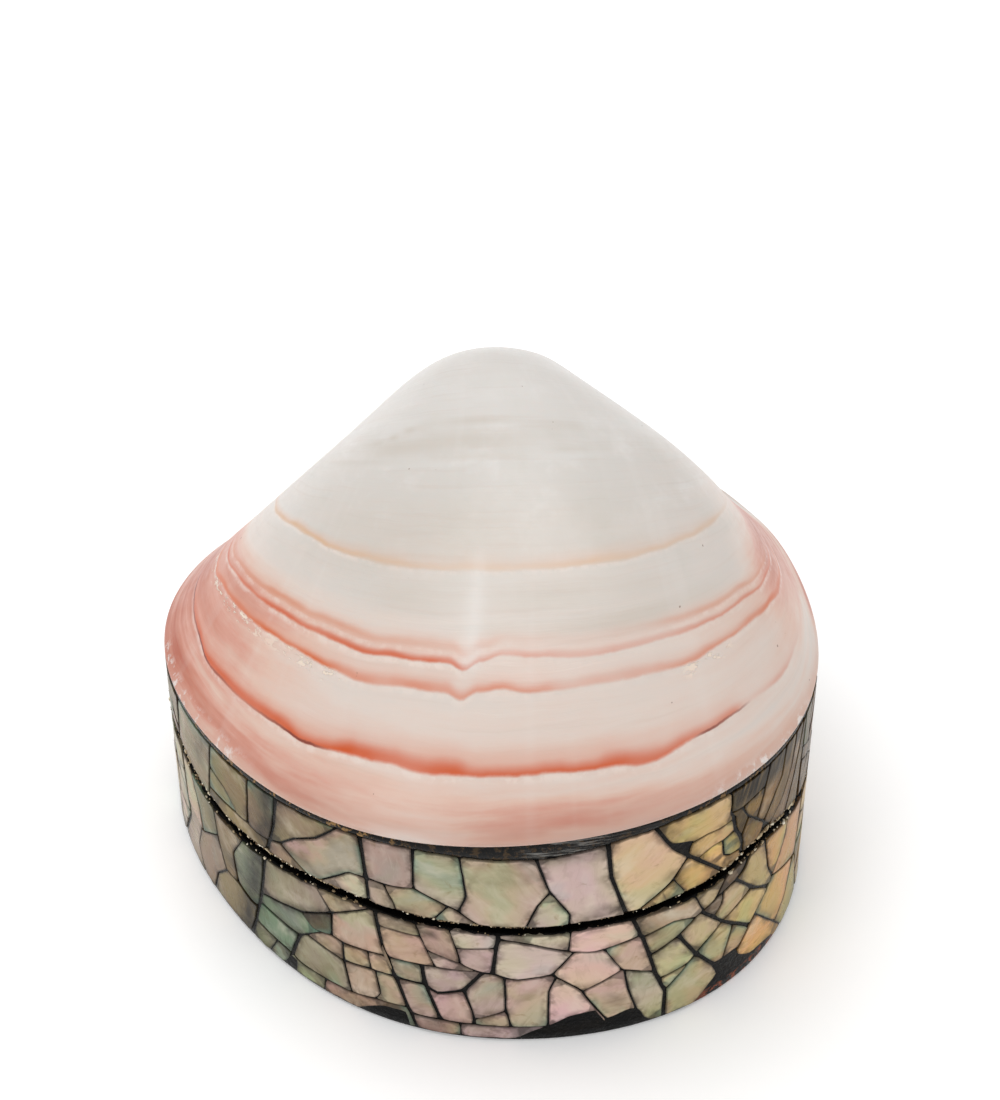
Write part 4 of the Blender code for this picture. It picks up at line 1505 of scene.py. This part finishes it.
class Mosaic:
    """Chips gathered into one mesh."""

    def __init__(self):
        self.wall = []
        self.faces = []
        self.edge = []
        self.tint = []
        self.grain = []
        self.count = 0

    def add_chip(self, cell, tint, smoky, chance):
        outline_points = inset_cell(*cell)
        if outline_points is None or signed_area(outline_points) < SMALLEST_CHIP:
            return
        loop = rough_outline(outline_points, chance)
        if signed_area([tuple(point) for point in loop]) < SMALLEST_CHIP:
            return
        bevel = drawn_in(loop, CHIP_BEVEL)
        low, high = loop.min(axis=0), loop.max(axis=0)
        grid_x = np.arange(low[0] + CHIP_GRID / 2, high[0], CHIP_GRID)
        grid_y = np.arange(low[1] + CHIP_GRID / 2, high[1], CHIP_GRID)
        inner = np.array([(x, y) for x in grid_x for y in grid_y]).reshape(-1, 2)
        inner = inner + np.array([chance.uniform(-GRID_SHIFT, GRID_SHIFT) for _ in range(2)])
        if len(inner):
            inner = inner[distance_to_loop(inner, bevel) > CHIP_GRID * GRID_MARGIN]
        count = len(loop)
        flat = [Vector(point) for point in bevel.tolist() + inner.tolist()]
        ring = [(index, (index + 1) % count) for index in range(count)]
        found = delaunay_2d_cdt(flat, ring, [list(range(count))], 1, 1e-5)
        triangles = found[2]
        out_points = np.array([tuple(point) for point in found[0]])
        if len(out_points) < count or np.abs(out_points[:count] - bevel).max() >= 1e-3:
            return
        centre = out_points.mean(axis=0)
        slope = np.array([chance.uniform(-CHIP_TILT, CHIP_TILT) for _ in range(2)])
        lift = chance.uniform(*CHIP_LIFT)

        def depth_of(points, depth):
            return depth + lift + (points - centre) @ slope

        rows = ((loop, CHIP_DEPTH), (loop, CHIP_ROUND), (out_points, 0.0))
        start = self.count
        for points, depth in rows:
            self.wall.append(np.column_stack([points, depth_of(points, depth)]))
        for row in range(2):
            low_row = start + row * count
            for index in range(count):
                after = (index + 1) % count
                self.faces.append((
                    low_row + index, low_row + after, low_row + count + after, low_row + count + index,
                ))
        top = start + 2 * count
        self.faces.extend(tuple(top + index for index in triangle) for triangle in triangles)
        self.faces.append(tuple(start + index for index in reversed(range(count))))
        total = 2 * count + len(out_points)
        self.count += total
        self.edge.append(np.concatenate([np.zeros(2 * count), distance_to_loop(out_points, loop)]))
        turn = SLIVER_TURN if smoky else chance.uniform(0, math.pi)
        spin = np.array([[math.cos(turn), -math.sin(turn)], [math.sin(turn), math.cos(turn)]])
        flat_all = np.concatenate([loop, loop, out_points])
        shift = np.array([chance.uniform(0, GRAIN_SHIFT) for _ in range(3)])
        self.grain.append(np.column_stack([(flat_all - centre) @ spin, np.zeros(total)]) + shift)
        self.tint.append(np.tile((*tint, 1.0), (total, 1)))

    def finish(self, name, material, painted_shadows, smoky):
        wall = np.concatenate(self.wall)
        piece = new_object(name, wall_points(*wall.T), self.faces, material, sharp=32.0)
        store(piece, "edge", np.concatenate(self.edge))
        store(piece, "tint", np.concatenate(self.tint), "FLOAT_COLOR")
        store(piece, "grain", np.concatenate(self.grain), "FLOAT_VECTOR")
        store(piece, "painted_shadow", painted_shadow(wall[:, :2], painted_shadows))
        store(piece, "smoky", smoked(wall[:, :2]) if smoky else np.zeros(len(wall)))
        return piece


def inside_outline(point, outline_points):
    """Whether a point lies in a polygon."""
    x, y = point
    inside = False
    for (x1, y1), (x2, y2) in zip(outline_points, outline_points[1:] + outline_points[:1]):
        if (y1 > y) != (y2 > y) and x < (x2 - x1) * (y - y1) / (y2 - y1) + x1:
            inside = not inside
    return inside


def tone_at(along, tones):
    places = [place + CRACK_MARK for place, _ in tones]
    shades = [on_wall(*shade) for _, shade in tones]
    return tuple(float(np.interp(along, places, channel)) for channel in zip(*shades))


def chip_tint(along, tones, chance):
    """Tone of the place, varied from chip to chip towards pink, green or gold."""
    base = tone_at(along + chance.uniform(-TONE_BLUR, TONE_BLUR), tones)
    lightness = chance.uniform(*CHIP_LIGHTNESS)
    cast = chance.choice(CASTS)
    return tuple(min(BRIGHTEST, channel * lightness * shift) for channel, shift in zip(base, cast))


def back_joints(left, right, chance):
    """Slanting joints round the hidden side, between the listed stretch's ends."""
    low, high = BACK_JOINT_LOW, BACK_JOINT_HIGH
    span = PERIMETER - (right - left)
    joints = []
    for index in range(1, BACK_JOINTS):
        along = right + span * index / BACK_JOINTS
        along = along + chance.uniform(-BACK_JOINT_SHIFT, BACK_JOINT_SHIFT)
        slant = chance.uniform(-BACK_JOINT_SLANT, BACK_JOINT_SLANT)
        bend = chance.uniform(-BACK_JOINT_BEND, BACK_JOINT_BEND)
        points = [(along - slant, low), (along + bend, (low + high) / 2), (along + slant, high)]
        offset = PERIMETER if along > PERIMETER / 2 else 0.0
        if abs(points[1][0] - offset) < PERIMETER / 2 - BACK_JOINT_MARGIN:
            joints.append((BROAD, [(place - offset, height) for place, height in points]))
    return joints


def lay_mosaic(name, material, seed, cracks, stretch, bottom, top, tones, painted_shadows, bare=(), smoky=False):
    """Chips between cracks, listed at the front and made by rule round the back."""
    chance = random.Random(seed)
    half = PERIMETER / 2
    low, high = bottom(np.array([half]))[0], top(np.array([half]))[0]
    borders = [
        (FINE, border(bottom, -half, half, seed + 1)),
        (FINE, border(top, -half, half, seed + 2)),
        (BROAD, [(-half, low), (-half, high)]),
        (BROAD, [(half, low), (half, high)]),
    ]
    lines = listed(cracks) + listed(((BROAD, stretch), (PLAIN, bare)))
    left = stretch[0][0][0] + CRACK_MARK
    right = stretch[1][0][0] + CRACK_MARK
    lines = joined_up(lines, borders) + back_joints(left, right, chance)
    patches = [moved_to_front(points) for points in bare]
    dark = moved_to_front(DARK_CHIPS)
    dim = moved_to_front(DIM_CHIPS)
    mosaic = Mosaic()
    for cell in cells_between(lines + borders):
        along, height = middle_of(cell[0])
        floor_here = float(bottom(np.array([along]))[0])
        roof_here = float(top(np.array([along]))[0])
        if not floor_here - CELL_MARGIN < height < roof_here + CELL_MARGIN or abs(along) > half:
            continue
        listed_side = left - STRETCH_MARGIN < along < right + STRETCH_MARGIN
        limit = chance.choice(SPLIT_LIMITS)
        for part in [cell] if listed_side else split_cell(cell, limit, chance):
            centre = middle_of(part[0])
            if any(inside_outline(centre, patch) for patch in patches):
                continue
            if any(inside_outline(spot, part[0]) for spot in dark):
                continue
            tint = chip_tint(centre[0], tones, chance)
            if any(inside_outline(spot, part[0]) for spot in dim):
                tint = tuple(DIM_CHIP * channel for channel in tint)
            in_smoke = smoky and SMOKE_START[0] < centre[0] < SMOKE_END[1]
            mosaic.add_chip(part, tint, in_smoke, chance)
    return mosaic.finish(name, material, painted_shadows, smoky)


def nacre_material():
    shader = Shader("crackled_nacre")
    grain = shader.attribute("grain", "Vector")
    edge = shader.attribute("edge")
    tint = shader.attribute("tint", "Color")
    bent = shader.vector("ADD", grain, shader.noise(grain, 0.3, 2.0, output="Color"))
    sheen = shader.stretched(bent, (0.16, 0.09, 1.0), 1.5, 0.45, 0.4)
    streaks = shader.stretched(bent, (1.1, 0.3, 1.0), 4.0, 0.6, 0.6)
    cloud = shader.noise(grain, 0.22, 3.0, 0.55, 0.4)
    stains = shader.noise(grain, 0.5, 5.0, 0.65, 0.6)
    uneven = shader.noise(grain, 0.6, 3.0, 0.6)
    rainbow = shader.ramp(sheen, (
        (0.30, (0.78, 1.0, 0.88)), (0.38, (0.90, 1.04, 0.78)), (0.45, (1.06, 1.0, 0.80)),
        (0.52, (1.10, 0.97, 0.91)), (0.60, (1.13, 0.91, 1.00)), (0.68, (0.98, 0.94, 1.05)),
        (0.76, (0.82, 1.02, 0.86)),
    ))
    colour = shader.mix(0.7, tint, rainbow, "MULTIPLY")
    colour = shader.washed(colour, (
        (cloud, 0.52, 0.74, 0.3, on_wall(222, 210, 192)),
        (cloud, 0.46, 0.26, 0.34, on_wall(100, 88, 62)),
        (streaks, 0.5, 0.7, 0.10, on_wall(230, 220, 204)),
        (streaks, 0.5, 0.3, 0.12, on_wall(104, 92, 68)),
        (stains, 0.6, 0.72, 0.4, on_wall(124, 98, 60)),
    ))
    # Painted shade: soft dark brown beside the cracks, in patches.
    patch = shader.remap(uneven, 0.42, 0.6)
    crack_painted_shade = shader.times(shader.remap(edge, 0.05, 0.9, 0.5, 0.0), patch)
    colour = shader.mix(crack_painted_shade, colour, on_wall(72, 60, 40))
    colour = shader.mix(shader.remap(edge, 0.03, 0.2, 0.6, 0.0), colour, on_wall(52, 46, 36))
    glint = shader.times(shader.remap(edge, 0.12, 0.6, 1.0, 0.0), shader.remap(sheen, 0.42, 0.32))
    colour = shader.mix(shader.times(glint, 0.26), colour, on_wall(120, 152, 136))
    slivers = shader.stretched(grain, (1.5, 0.10, 1.0), 4.0, 0.6, 0.3)
    smoke = shader.ramp(slivers, (
        (0.36, linear(16, 11, 5)), (0.50, linear(46, 35, 19)), (0.60, linear(88, 71, 42)),
        (0.74, linear(158, 128, 84)),
    ))
    colour = shader.mix(shader.attribute("smoky"), colour, smoke)
    # Painted shade beside joints, by the saw cut and under the bead, varied by the stain noise.
    ragged = shader.times(shader.attribute("painted_shadow"), shader.remap(stains, 0.25, 0.65, 0.7, 1.15))
    colour = shader.mix(ragged, colour, linear(22, 16, 9))
    shader.set(base_color=colour, metallic=0.0)
    shader.set(roughness=shader.remap(streaks, 0.3, 0.7, 0.24, 0.38))
    shader.set(normal=shader.bump(shader.add(streaks, cloud), 0.05))
    shader.set(coat_weight=0.0, ior=1.45, specular_ior_level=0.1)
    return shader.material


# Beds, bead and crumbs

def kerf_above(angle):
    """How far above the seam the saw cut's ragged upper edge lies."""
    return KERF_ABOVE + cyclic_curve(angle, KERF_WIDENING) + cyclic_curve(angle, KERF_RISE)


def kerf_below(angle):
    return KERF_BELOW + cyclic_curve(angle, KERF_WIDENING) - cyclic_curve(angle, KERF_RISE)


RING_COLUMNS = 720
COLUMN_ANGLES = column_angles(RING_COLUMNS)
RING_NOISE_STEP = 3.7
BED_BACK = 0.96
BED_ROW_STEP = 1.0
BED_OVERLAP = 0.02
BED_FOOT = 0.03
BED_UNEVEN = 0.035
BED_FACE_START = 0.2
BED_FACE_INSET = 0.35
BED_RAGGED = ((0.10, 55.0, 40), (0.06, 23.0, 41))

# Rows of a bed as (depth, height above its foot), and above its ragged top.
BED_FOOT_ROWS = ((BED_BACK, 0.03), (BED_FACE + 0.35, 0.0), (BED_FACE + 0.08, 0.06))
BED_TOP_ROWS = ((BED_FACE + 0.07, -0.05), (BED_FACE + 0.30, 0.03))

# Where worn wood shows through the base's bed.
WOOD_STRETCH = ((306, 0.0), (314, 1.0), (330, 1.0), (340, 0.0))

# The bead's section as (depth, part of its height), and where it is gilt or scuffed.
BEAD_SECTION = (
    (0.95, 0.0), (0.20, -0.02), (0.10, 0.12), (0.09, 0.35), (0.11, 0.6), (0.17, 0.85),
    (0.26, 0.99), (0.95, 0.995),
)
BEAD_FRONT = 0.5
GOLD_STRETCH = (
    (196, 0.0), (206, 1.0), (246, 1.0), (258, 0.15), (300, 0.15), (316, 0.7), (340, 0.3),
)
SCUFFED_STRETCH = ((274, 0.0), (279, 1.0), (289, 0.8), (296, 0.1), (330, 0.0))


def ring_piece(name, rows, material, **stretches):
    """A closed ring round the box from rows of (depth, height), and what it stores."""
    layers = []
    for depth, height in rows:
        x, y = outline(COLUMN_ANGLES, depth)
        layers.append(placed(x, y, height))
    faces = grid_faces(len(rows), RING_COLUMNS, closed_rows=True)
    piece = new_object(name, np.concatenate(layers), faces, material, sharp=50.0)
    outward(piece)
    for field, stops in stretches.items():
        store(piece, field, np.tile(cyclic_curve(COLUMN_ANGLES, stops), len(rows)))
    return piece


def ring_noise(scale, seed):
    """Noise that closes on itself round the box."""
    around = np.radians(COLUMN_ANGLES)
    level = np.full_like(around, seed * RING_NOISE_STEP)
    return noise_field(np.cos(around) * scale, np.sin(around) * scale, level)


def build_bed(name, low, high, seed, material, wood):
    """Black lacquer under the chips, with a slightly uneven face and ragged edges."""
    rows = [(depth, low + rise) for depth, rise in BED_FOOT_ROWS]
    count = int((high - low).max() / BED_ROW_STEP)
    for index in range(count + 1):
        part = index / count
        inner = min(1.0, 6 * part * (1 - part) + 0.1)
        face = BED_FACE + BED_UNEVEN * inner * ring_noise(9.0, seed + index * 0.9)
        rows.append((face, low + BED_FACE_START + (high - low - BED_FACE_INSET) * part))
    ragged = sum(reach * ring_noise(scale, seed + shift) for reach, scale, shift in BED_RAGGED)
    rows.extend((depth, high + rise + ragged) for depth, rise in BED_TOP_ROWS)
    rows.append((BED_BACK, high))
    return ring_piece(name, rows, material, bare_wood=wood)


def build_base_bed(material):
    seam = seam_height(*outline(COLUMN_ANGLES))
    low = np.full_like(COLUMN_ANGLES, BED_FOOT)
    high = seam - kerf_below(COLUMN_ANGLES) + BED_OVERLAP
    return build_bed("base_bed", low, high, 3, material, WOOD_STRETCH)


def build_lid_bed(material):
    x, y = outline(COLUMN_ANGLES)
    low = seam_height(x, y) + kerf_above(COLUMN_ANGLES) - BED_OVERLAP
    high = rim_height(x, y) - GAP - bead_depth(COLUMN_ANGLES) - BED_OVERLAP
    return build_bed("lid_bed", low, high, 17, material, ((FRONT_ANGLE, 0.0),))


def build_rim_filler(material):
    """Bead of black filler under the valve's edge."""
    top = rim_height(*outline(COLUMN_ANGLES))
    bottom = top - GAP - bead_depth(COLUMN_ANGLES)
    wave = ring_noise(14.0, 8)
    fine = ring_noise(60.0, 9)
    swell = 0.03 * wave + 0.015 * fine + shoulder_inset(COLUMN_ANGLES)
    ragged = 0.10 * fine + 0.12 * wave
    rows = []
    for depth, part in BEAD_SECTION:
        height = bottom + (top - bottom) * part
        if depth < BEAD_FRONT and part < 0.1:
            height = height + ragged
        rows.append((depth + swell if depth < BEAD_FRONT else depth, height))
    return ring_piece("rim_filler", rows, material, gold=GOLD_STRETCH, scuffed=SCUFFED_STRETCH)


# Crumbs by stretch of the wall: its ends, how many and how large against the usual size.
CRUMB_SEED = 7
CRUMB_BANDS = (
    ((-52.0, -12.0), 620, 1.0), ((-12.0, 14.0), 300, 0.65), ((14.0, 22.0), 120, 0.8),
    ((22.0, 33.0), 240, 1.25), ((33.0, 42.0), 100, 0.9), ((42.0, 128.0), 200, 0.7),
)
CRUMB_SIZES = (0.06, 0.14)
CRUMB_STRETCHES = ((0.7, 1.9), (0.6, 1.1), (0.6, 1.0))
CRUMB_KNOBS = (0.7, 1.25)
CRUMB_GAPS = (-0.5, 0.25)
CRUMB_OVERLAP = 0.02
CRUMB_SCATTER = 0.05
CRUMB_TURN = 0.8
UPPER_CRUMBS = 0.86
UPPER_DEPTHS = (0.0, 0.3)
LOWER_DEPTHS = (0.05, 0.4)
LARGE_CRUMBS = 0.12
LARGE_CRUMB = 1.5


def build_crumbs(material):
    """Crumbs of shell and dried paste left along the saw cut."""
    chance = random.Random(CRUMB_SEED)
    ball = bmesh.new()
    bmesh.ops.create_icosphere(ball, subdivisions=1, radius=1.0)
    shape = np.array([vertex.co[:] for vertex in ball.verts])
    faces = [tuple(vertex.index for vertex in face.verts) for face in ball.faces]
    ball.free()
    points, all_faces, tones = [], [], []
    for (low, high), number, scale in CRUMB_BANDS:
        for _ in range(number):
            along = chance.uniform(low, high)
            if rough([along], 0.45, 2)[0] < chance.uniform(*CRUMB_GAPS):
                continue
            if along > PERIMETER / 2:
                along -= PERIMETER
            upper = chance.random() < UPPER_CRUMBS
            size = scale * chance.uniform(*CRUMB_SIZES)
            size *= LARGE_CRUMB if chance.random() < LARGE_CRUMBS else 1.0
            angle = angle_at(along)
            edge = kerf_above(angle) - CRUMB_OVERLAP if upper else CRUMB_OVERLAP - kerf_below(angle)
            height = float(seam_along(along) + edge) + chance.gauss(0.0, CRUMB_SCATTER)
            depth = chance.uniform(*(UPPER_DEPTHS if upper else LOWER_DEPTHS))
            stretch = np.array([size * chance.uniform(*reach) for reach in CRUMB_STRETCHES])
            knobs = np.array([chance.uniform(*CRUMB_KNOBS) for _ in shape])[:, None]
            local = shape * knobs * stretch
            turn = chance.uniform(-CRUMB_TURN, CRUMB_TURN)
            spun_s = local[:, 0] * math.cos(turn) - local[:, 1] * math.sin(turn)
            spun_z = local[:, 0] * math.sin(turn) + local[:, 1] * math.cos(turn)
            start = len(points) * len(shape)
            points.append(wall_points(along + spun_s, height + spun_z, depth + local[:, 2]))
            all_faces.extend(tuple(start + index for index in face) for face in faces)
            tones.append(np.full(len(shape), chance.random()))
    piece = new_object("seam_crumbs", np.concatenate(points), all_faces, material, smooth=False)
    outward(piece)
    store(piece, "crumb_tone", np.concatenate(tones))
    return piece


def lacquer_material():
    shader = Shader("glossy_black_lacquer")
    place = shader.place()
    dust = shader.noise(place, 2.4, 4.0, 0.6)
    cloud = shader.noise(place, 0.5, 3.0)
    colour = shader.mix(shader.remap(cloud, 0.4, 0.7), linear(3, 3, 3), linear(13, 10, 7))
    colour = shader.washed(colour, ((dust, 0.64, 0.74, 0.4, linear(70, 60, 46)),))
    chips = shader.noise(place, 1.1, 4.0, 0.65)
    wood = shader.times(shader.attribute("bare_wood"), shader.remap(chips, 0.5, 0.56))
    wood = shader.times(wood, shader.remap(shader.height(place), 1.0, 1.4, 1.0, 0.0))
    colour = shader.mix(wood, colour, linear(128, 66, 40))
    shader.set(base_color=colour, roughness=shader.remap(dust, 0.3, 0.7, 0.2, 0.45))
    shader.set(normal=shader.bump(shader.add(dust, shader.times(chips, 0.5)), 0.06))
    shader.set(specular_ior_level=0.06, coat_weight=0.0)
    return shader.material


def filler_material():
    shader = Shader("rim_filler_lacquer")
    place = shader.place()
    crumbs = shader.noise(place, 1.6, 4.0, 0.7)
    long_scuffs = shader.stretched(place, (0.35, 0.35, 4.5), 4.0, 0.7)
    colour = shader.mix(shader.remap(crumbs, 0.45, 0.6), linear(4, 4, 4), linear(20, 14, 10))
    gold = shader.times(shader.attribute("gold"), shader.remap(crumbs, 0.52, 0.62))
    colour = shader.mix(gold, colour, linear(140, 108, 66))
    scuff = shader.times(shader.attribute("scuffed"), shader.remap(long_scuffs, 0.48, 0.6))
    colour = shader.mix(shader.times(scuff, 0.6), colour, linear(140, 138, 134))
    shader.set(base_color=colour, roughness=shader.remap(crumbs, 0.35, 0.7, 0.14, 0.45))
    shader.set(normal=shader.bump(shader.add(crumbs, scuff), 0.06), specular_ior_level=0.12)
    return shader.material


def crumb_material():
    shader = Shader("dried_crumbs")
    tone = shader.attribute("crumb_tone")
    place = shader.place()
    grit = shader.noise(place, 9.0, 3.0)
    colour = shader.ramp(tone, (
        (0.0, linear(92, 70, 44)), (0.4, linear(140, 116, 82)), (0.65, linear(196, 178, 144)),
        (1.0, linear(236, 228, 208)),
    ))
    colour = shader.washed(colour, ((grit, 0.55, 0.7, 0.5, linear(110, 92, 70)),))
    shader.set(base_color=colour, roughness=0.75, normal=shader.bump(grit, 0.04))
    return shader.material


def wood_material():
    """Dark lacquered wood of the core, worn in patches and near its underside."""
    shader = Shader("lacquered_core_wood")
    place = shader.place()
    grain = shader.stretched(place, (0.16, 1.5, 1.5), 5.0, 0.6, 0.4)
    pores = shader.stretched(place, (0.7, 6.0, 6.0), 3.0, 0.6)
    wear = shader.noise(place, 0.22, 5.0, 0.62)
    colour = shader.ramp(grain, (
        (0.3, linear(26, 20, 17)), (0.5, linear(38, 28, 22)), (0.7, linear(54, 38, 28)),
    ))
    bare = shader.ramp(grain, (
        (0.3, linear(104, 66, 42)), (0.5, linear(136, 92, 60)), (0.7, linear(158, 114, 78)),
    ))
    underside = shader.remap(shader.height(place), 0.3, 1.0, 0.16, 0.0)
    worn = shader.remap(shader.add(wear, underside), 0.60, 0.68)
    colour = shader.mix(worn, colour, bare)
    colour = shader.washed(colour, ((pores, 0.6, 0.75, 0.6, linear(18, 13, 11)),))
    relief = shader.add(grain, shader.times(worn, -0.4))
    gloss = shader.add(shader.remap(grain, 0.3, 0.7, 0.26, 0.4), shader.times(worn, 0.3))
    shader.set(base_color=colour, roughness=gloss)
    shader.set(normal=shader.bump(shader.add(relief, shader.times(pores, -0.5)), 0.08))
    shader.set(coat_weight=0.15, coat_roughness=0.2)
    return shader.material


# Stage, lights and camera, in metres and watts.
FLOOR_REACH = 1.6
FLOOR_GLOW = 0.13
SKY_STRENGTH = 0.64
LIGHT_AIM = (0.0, 0.0, 0.02)
SOFTBOXES = (
    ("overhead", (-0.10, 0.10, 0.62), (0.5, 0.5), 1.9),
    ("front_left", (-0.45, -0.50, 0.40), (0.35, 0.45), 0.7),
    ("front_right", (0.50, -0.40, 0.30), (0.3, 0.4), 0.35),
)


def build_floor():
    corners = ((-1, -1), (1, -1), (1, 1), (-1, 1))
    points = [(x * FLOOR_REACH, y * FLOOR_REACH, 0.0) for x, y in corners]
    shader = Shader("pale_floor")
    place = shader.place()
    shader.set(base_color=shader.mix(
        shader.noise(place, 0.02, 2.0), (0.96, 0.96, 0.96), (0.98, 0.98, 0.98)), roughness=0.9)
    shader.set(specular_ior_level=0.1, emission_color=(1.0, 1.0, 1.0), emission_strength=FLOOR_GLOW)
    floor = new_object("floor", points, [(0, 1, 2, 3)], shader.material, smooth=False)


def build_lights():
    world = bpy.data.worlds.new("studio")
    bpy.context.scene.world = world
    world.use_nodes = True
    background = world.node_tree.nodes["Background"]
    background.inputs["Color"].default_value = (1.0, 1.0, 1.0, 1.0)
    background.inputs["Strength"].default_value = SKY_STRENGTH
    for name, place, size, watts in SOFTBOXES:
        data = bpy.data.lights.new(name, "AREA")
        data.shape = "RECTANGLE"
        data.size, data.size_y = size
        data.energy = watts
        lamp = bpy.data.objects.new(name, data)
        lamp.location = place
        heading = Vector(LIGHT_AIM) - Vector(place)
        lamp.rotation_euler = heading.to_track_quat("-Z", "Y").to_euler()
        bpy.context.scene.collection.objects.link(lamp)


def build_camera():
    yaw = math.radians(VIEW_YAW)
    elevation = math.radians(VIEW_ELEVATION)
    right = Vector((math.cos(yaw), -math.sin(yaw), 0.0))
    forward = Vector((
        math.cos(elevation) * math.sin(yaw), math.cos(elevation) * math.cos(yaw), -math.sin(elevation),
    ))
    up = right.cross(forward)
    place = VIEW_ASIDE * right + VIEW_UP * up - VIEW_DISTANCE * forward
    place += Vector((*OUTLINE_CENTRE, 0.0))
    data = bpy.data.cameras.new("photo_view")
    data.sensor_width = SENSOR_WIDTH
    data.sensor_fit = "AUTO"
    data.lens = FOCAL_PIXELS / max(PHOTO_WIDTH, PHOTO_HEIGHT) * SENSOR_WIDTH
    data.clip_start = 0.01
    camera = bpy.data.objects.new("photo_view", data)
    rotation = Matrix((right, up, -forward)).transposed().to_4x4()
    camera.matrix_world = Matrix.Translation(place * MM) @ rotation
    bpy.context.scene.collection.objects.link(camera)
    bpy.context.scene.camera = camera


def lid_bottom(along):
    return seam_along(along) + kerf_above(angle_at(along))


def lid_top(along):
    return rim_along(along) - GAP - bead_depth(angle_at(along))


def base_bottom(along):
    return np.full_like(np.asarray(along, dtype=float), FOOT_EDGE)


def base_top(along):
    return seam_along(along) - kerf_below(angle_at(along))


def main():
    build_camera()
    build_floor()
    build_lights()
    bpy.context.scene.view_settings.view_transform = "Standard"

    wood = wood_material()
    for name in ("base_tray", "lid_ring"):
        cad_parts[name].material_slots[0].material = wood

    valve = build_valve(valve_material())
    finish_piece(valve, "polished_shell", "shell_valve")

    nacre = nacre_material()
    lid_mosaic = lay_mosaic(
        "lid_mosaic", nacre, MOSAIC_SEED, LID_CRACKS, LID_STRETCH, lid_bottom, lid_top, LID_TONES,
        LID_PAINTED_SHADOWS, smoky=True)
    finish_piece(lid_mosaic, "mother_of_pearl", *(f"lid_plate_{index:02d}" for index in range(1, 19)))
    base_mosaic = lay_mosaic(
        "base_mosaic", nacre, MOSAIC_SEED + 10, BASE_CRACKS, BASE_STRETCH, base_bottom, base_top,
        BASE_TONES, BASE_PAINTED_SHADOWS, bare=BARE_OUTLINES)
    finish_piece(
        base_mosaic, "mother_of_pearl",
        *(f"base_plate_{row}_{index:02d}" for row in ("low", "high") for index in range(1, 19)))

    lacquer = lacquer_material()
    finish_piece(build_base_bed(lacquer), "black_lacquer")
    finish_piece(build_lid_bed(lacquer), "black_lacquer")
    finish_piece(build_rim_filler(filler_material()), "black_lacquer", "filler_bead")
    finish_piece(build_crumbs(crumb_material()), "black_lacquer")


main()
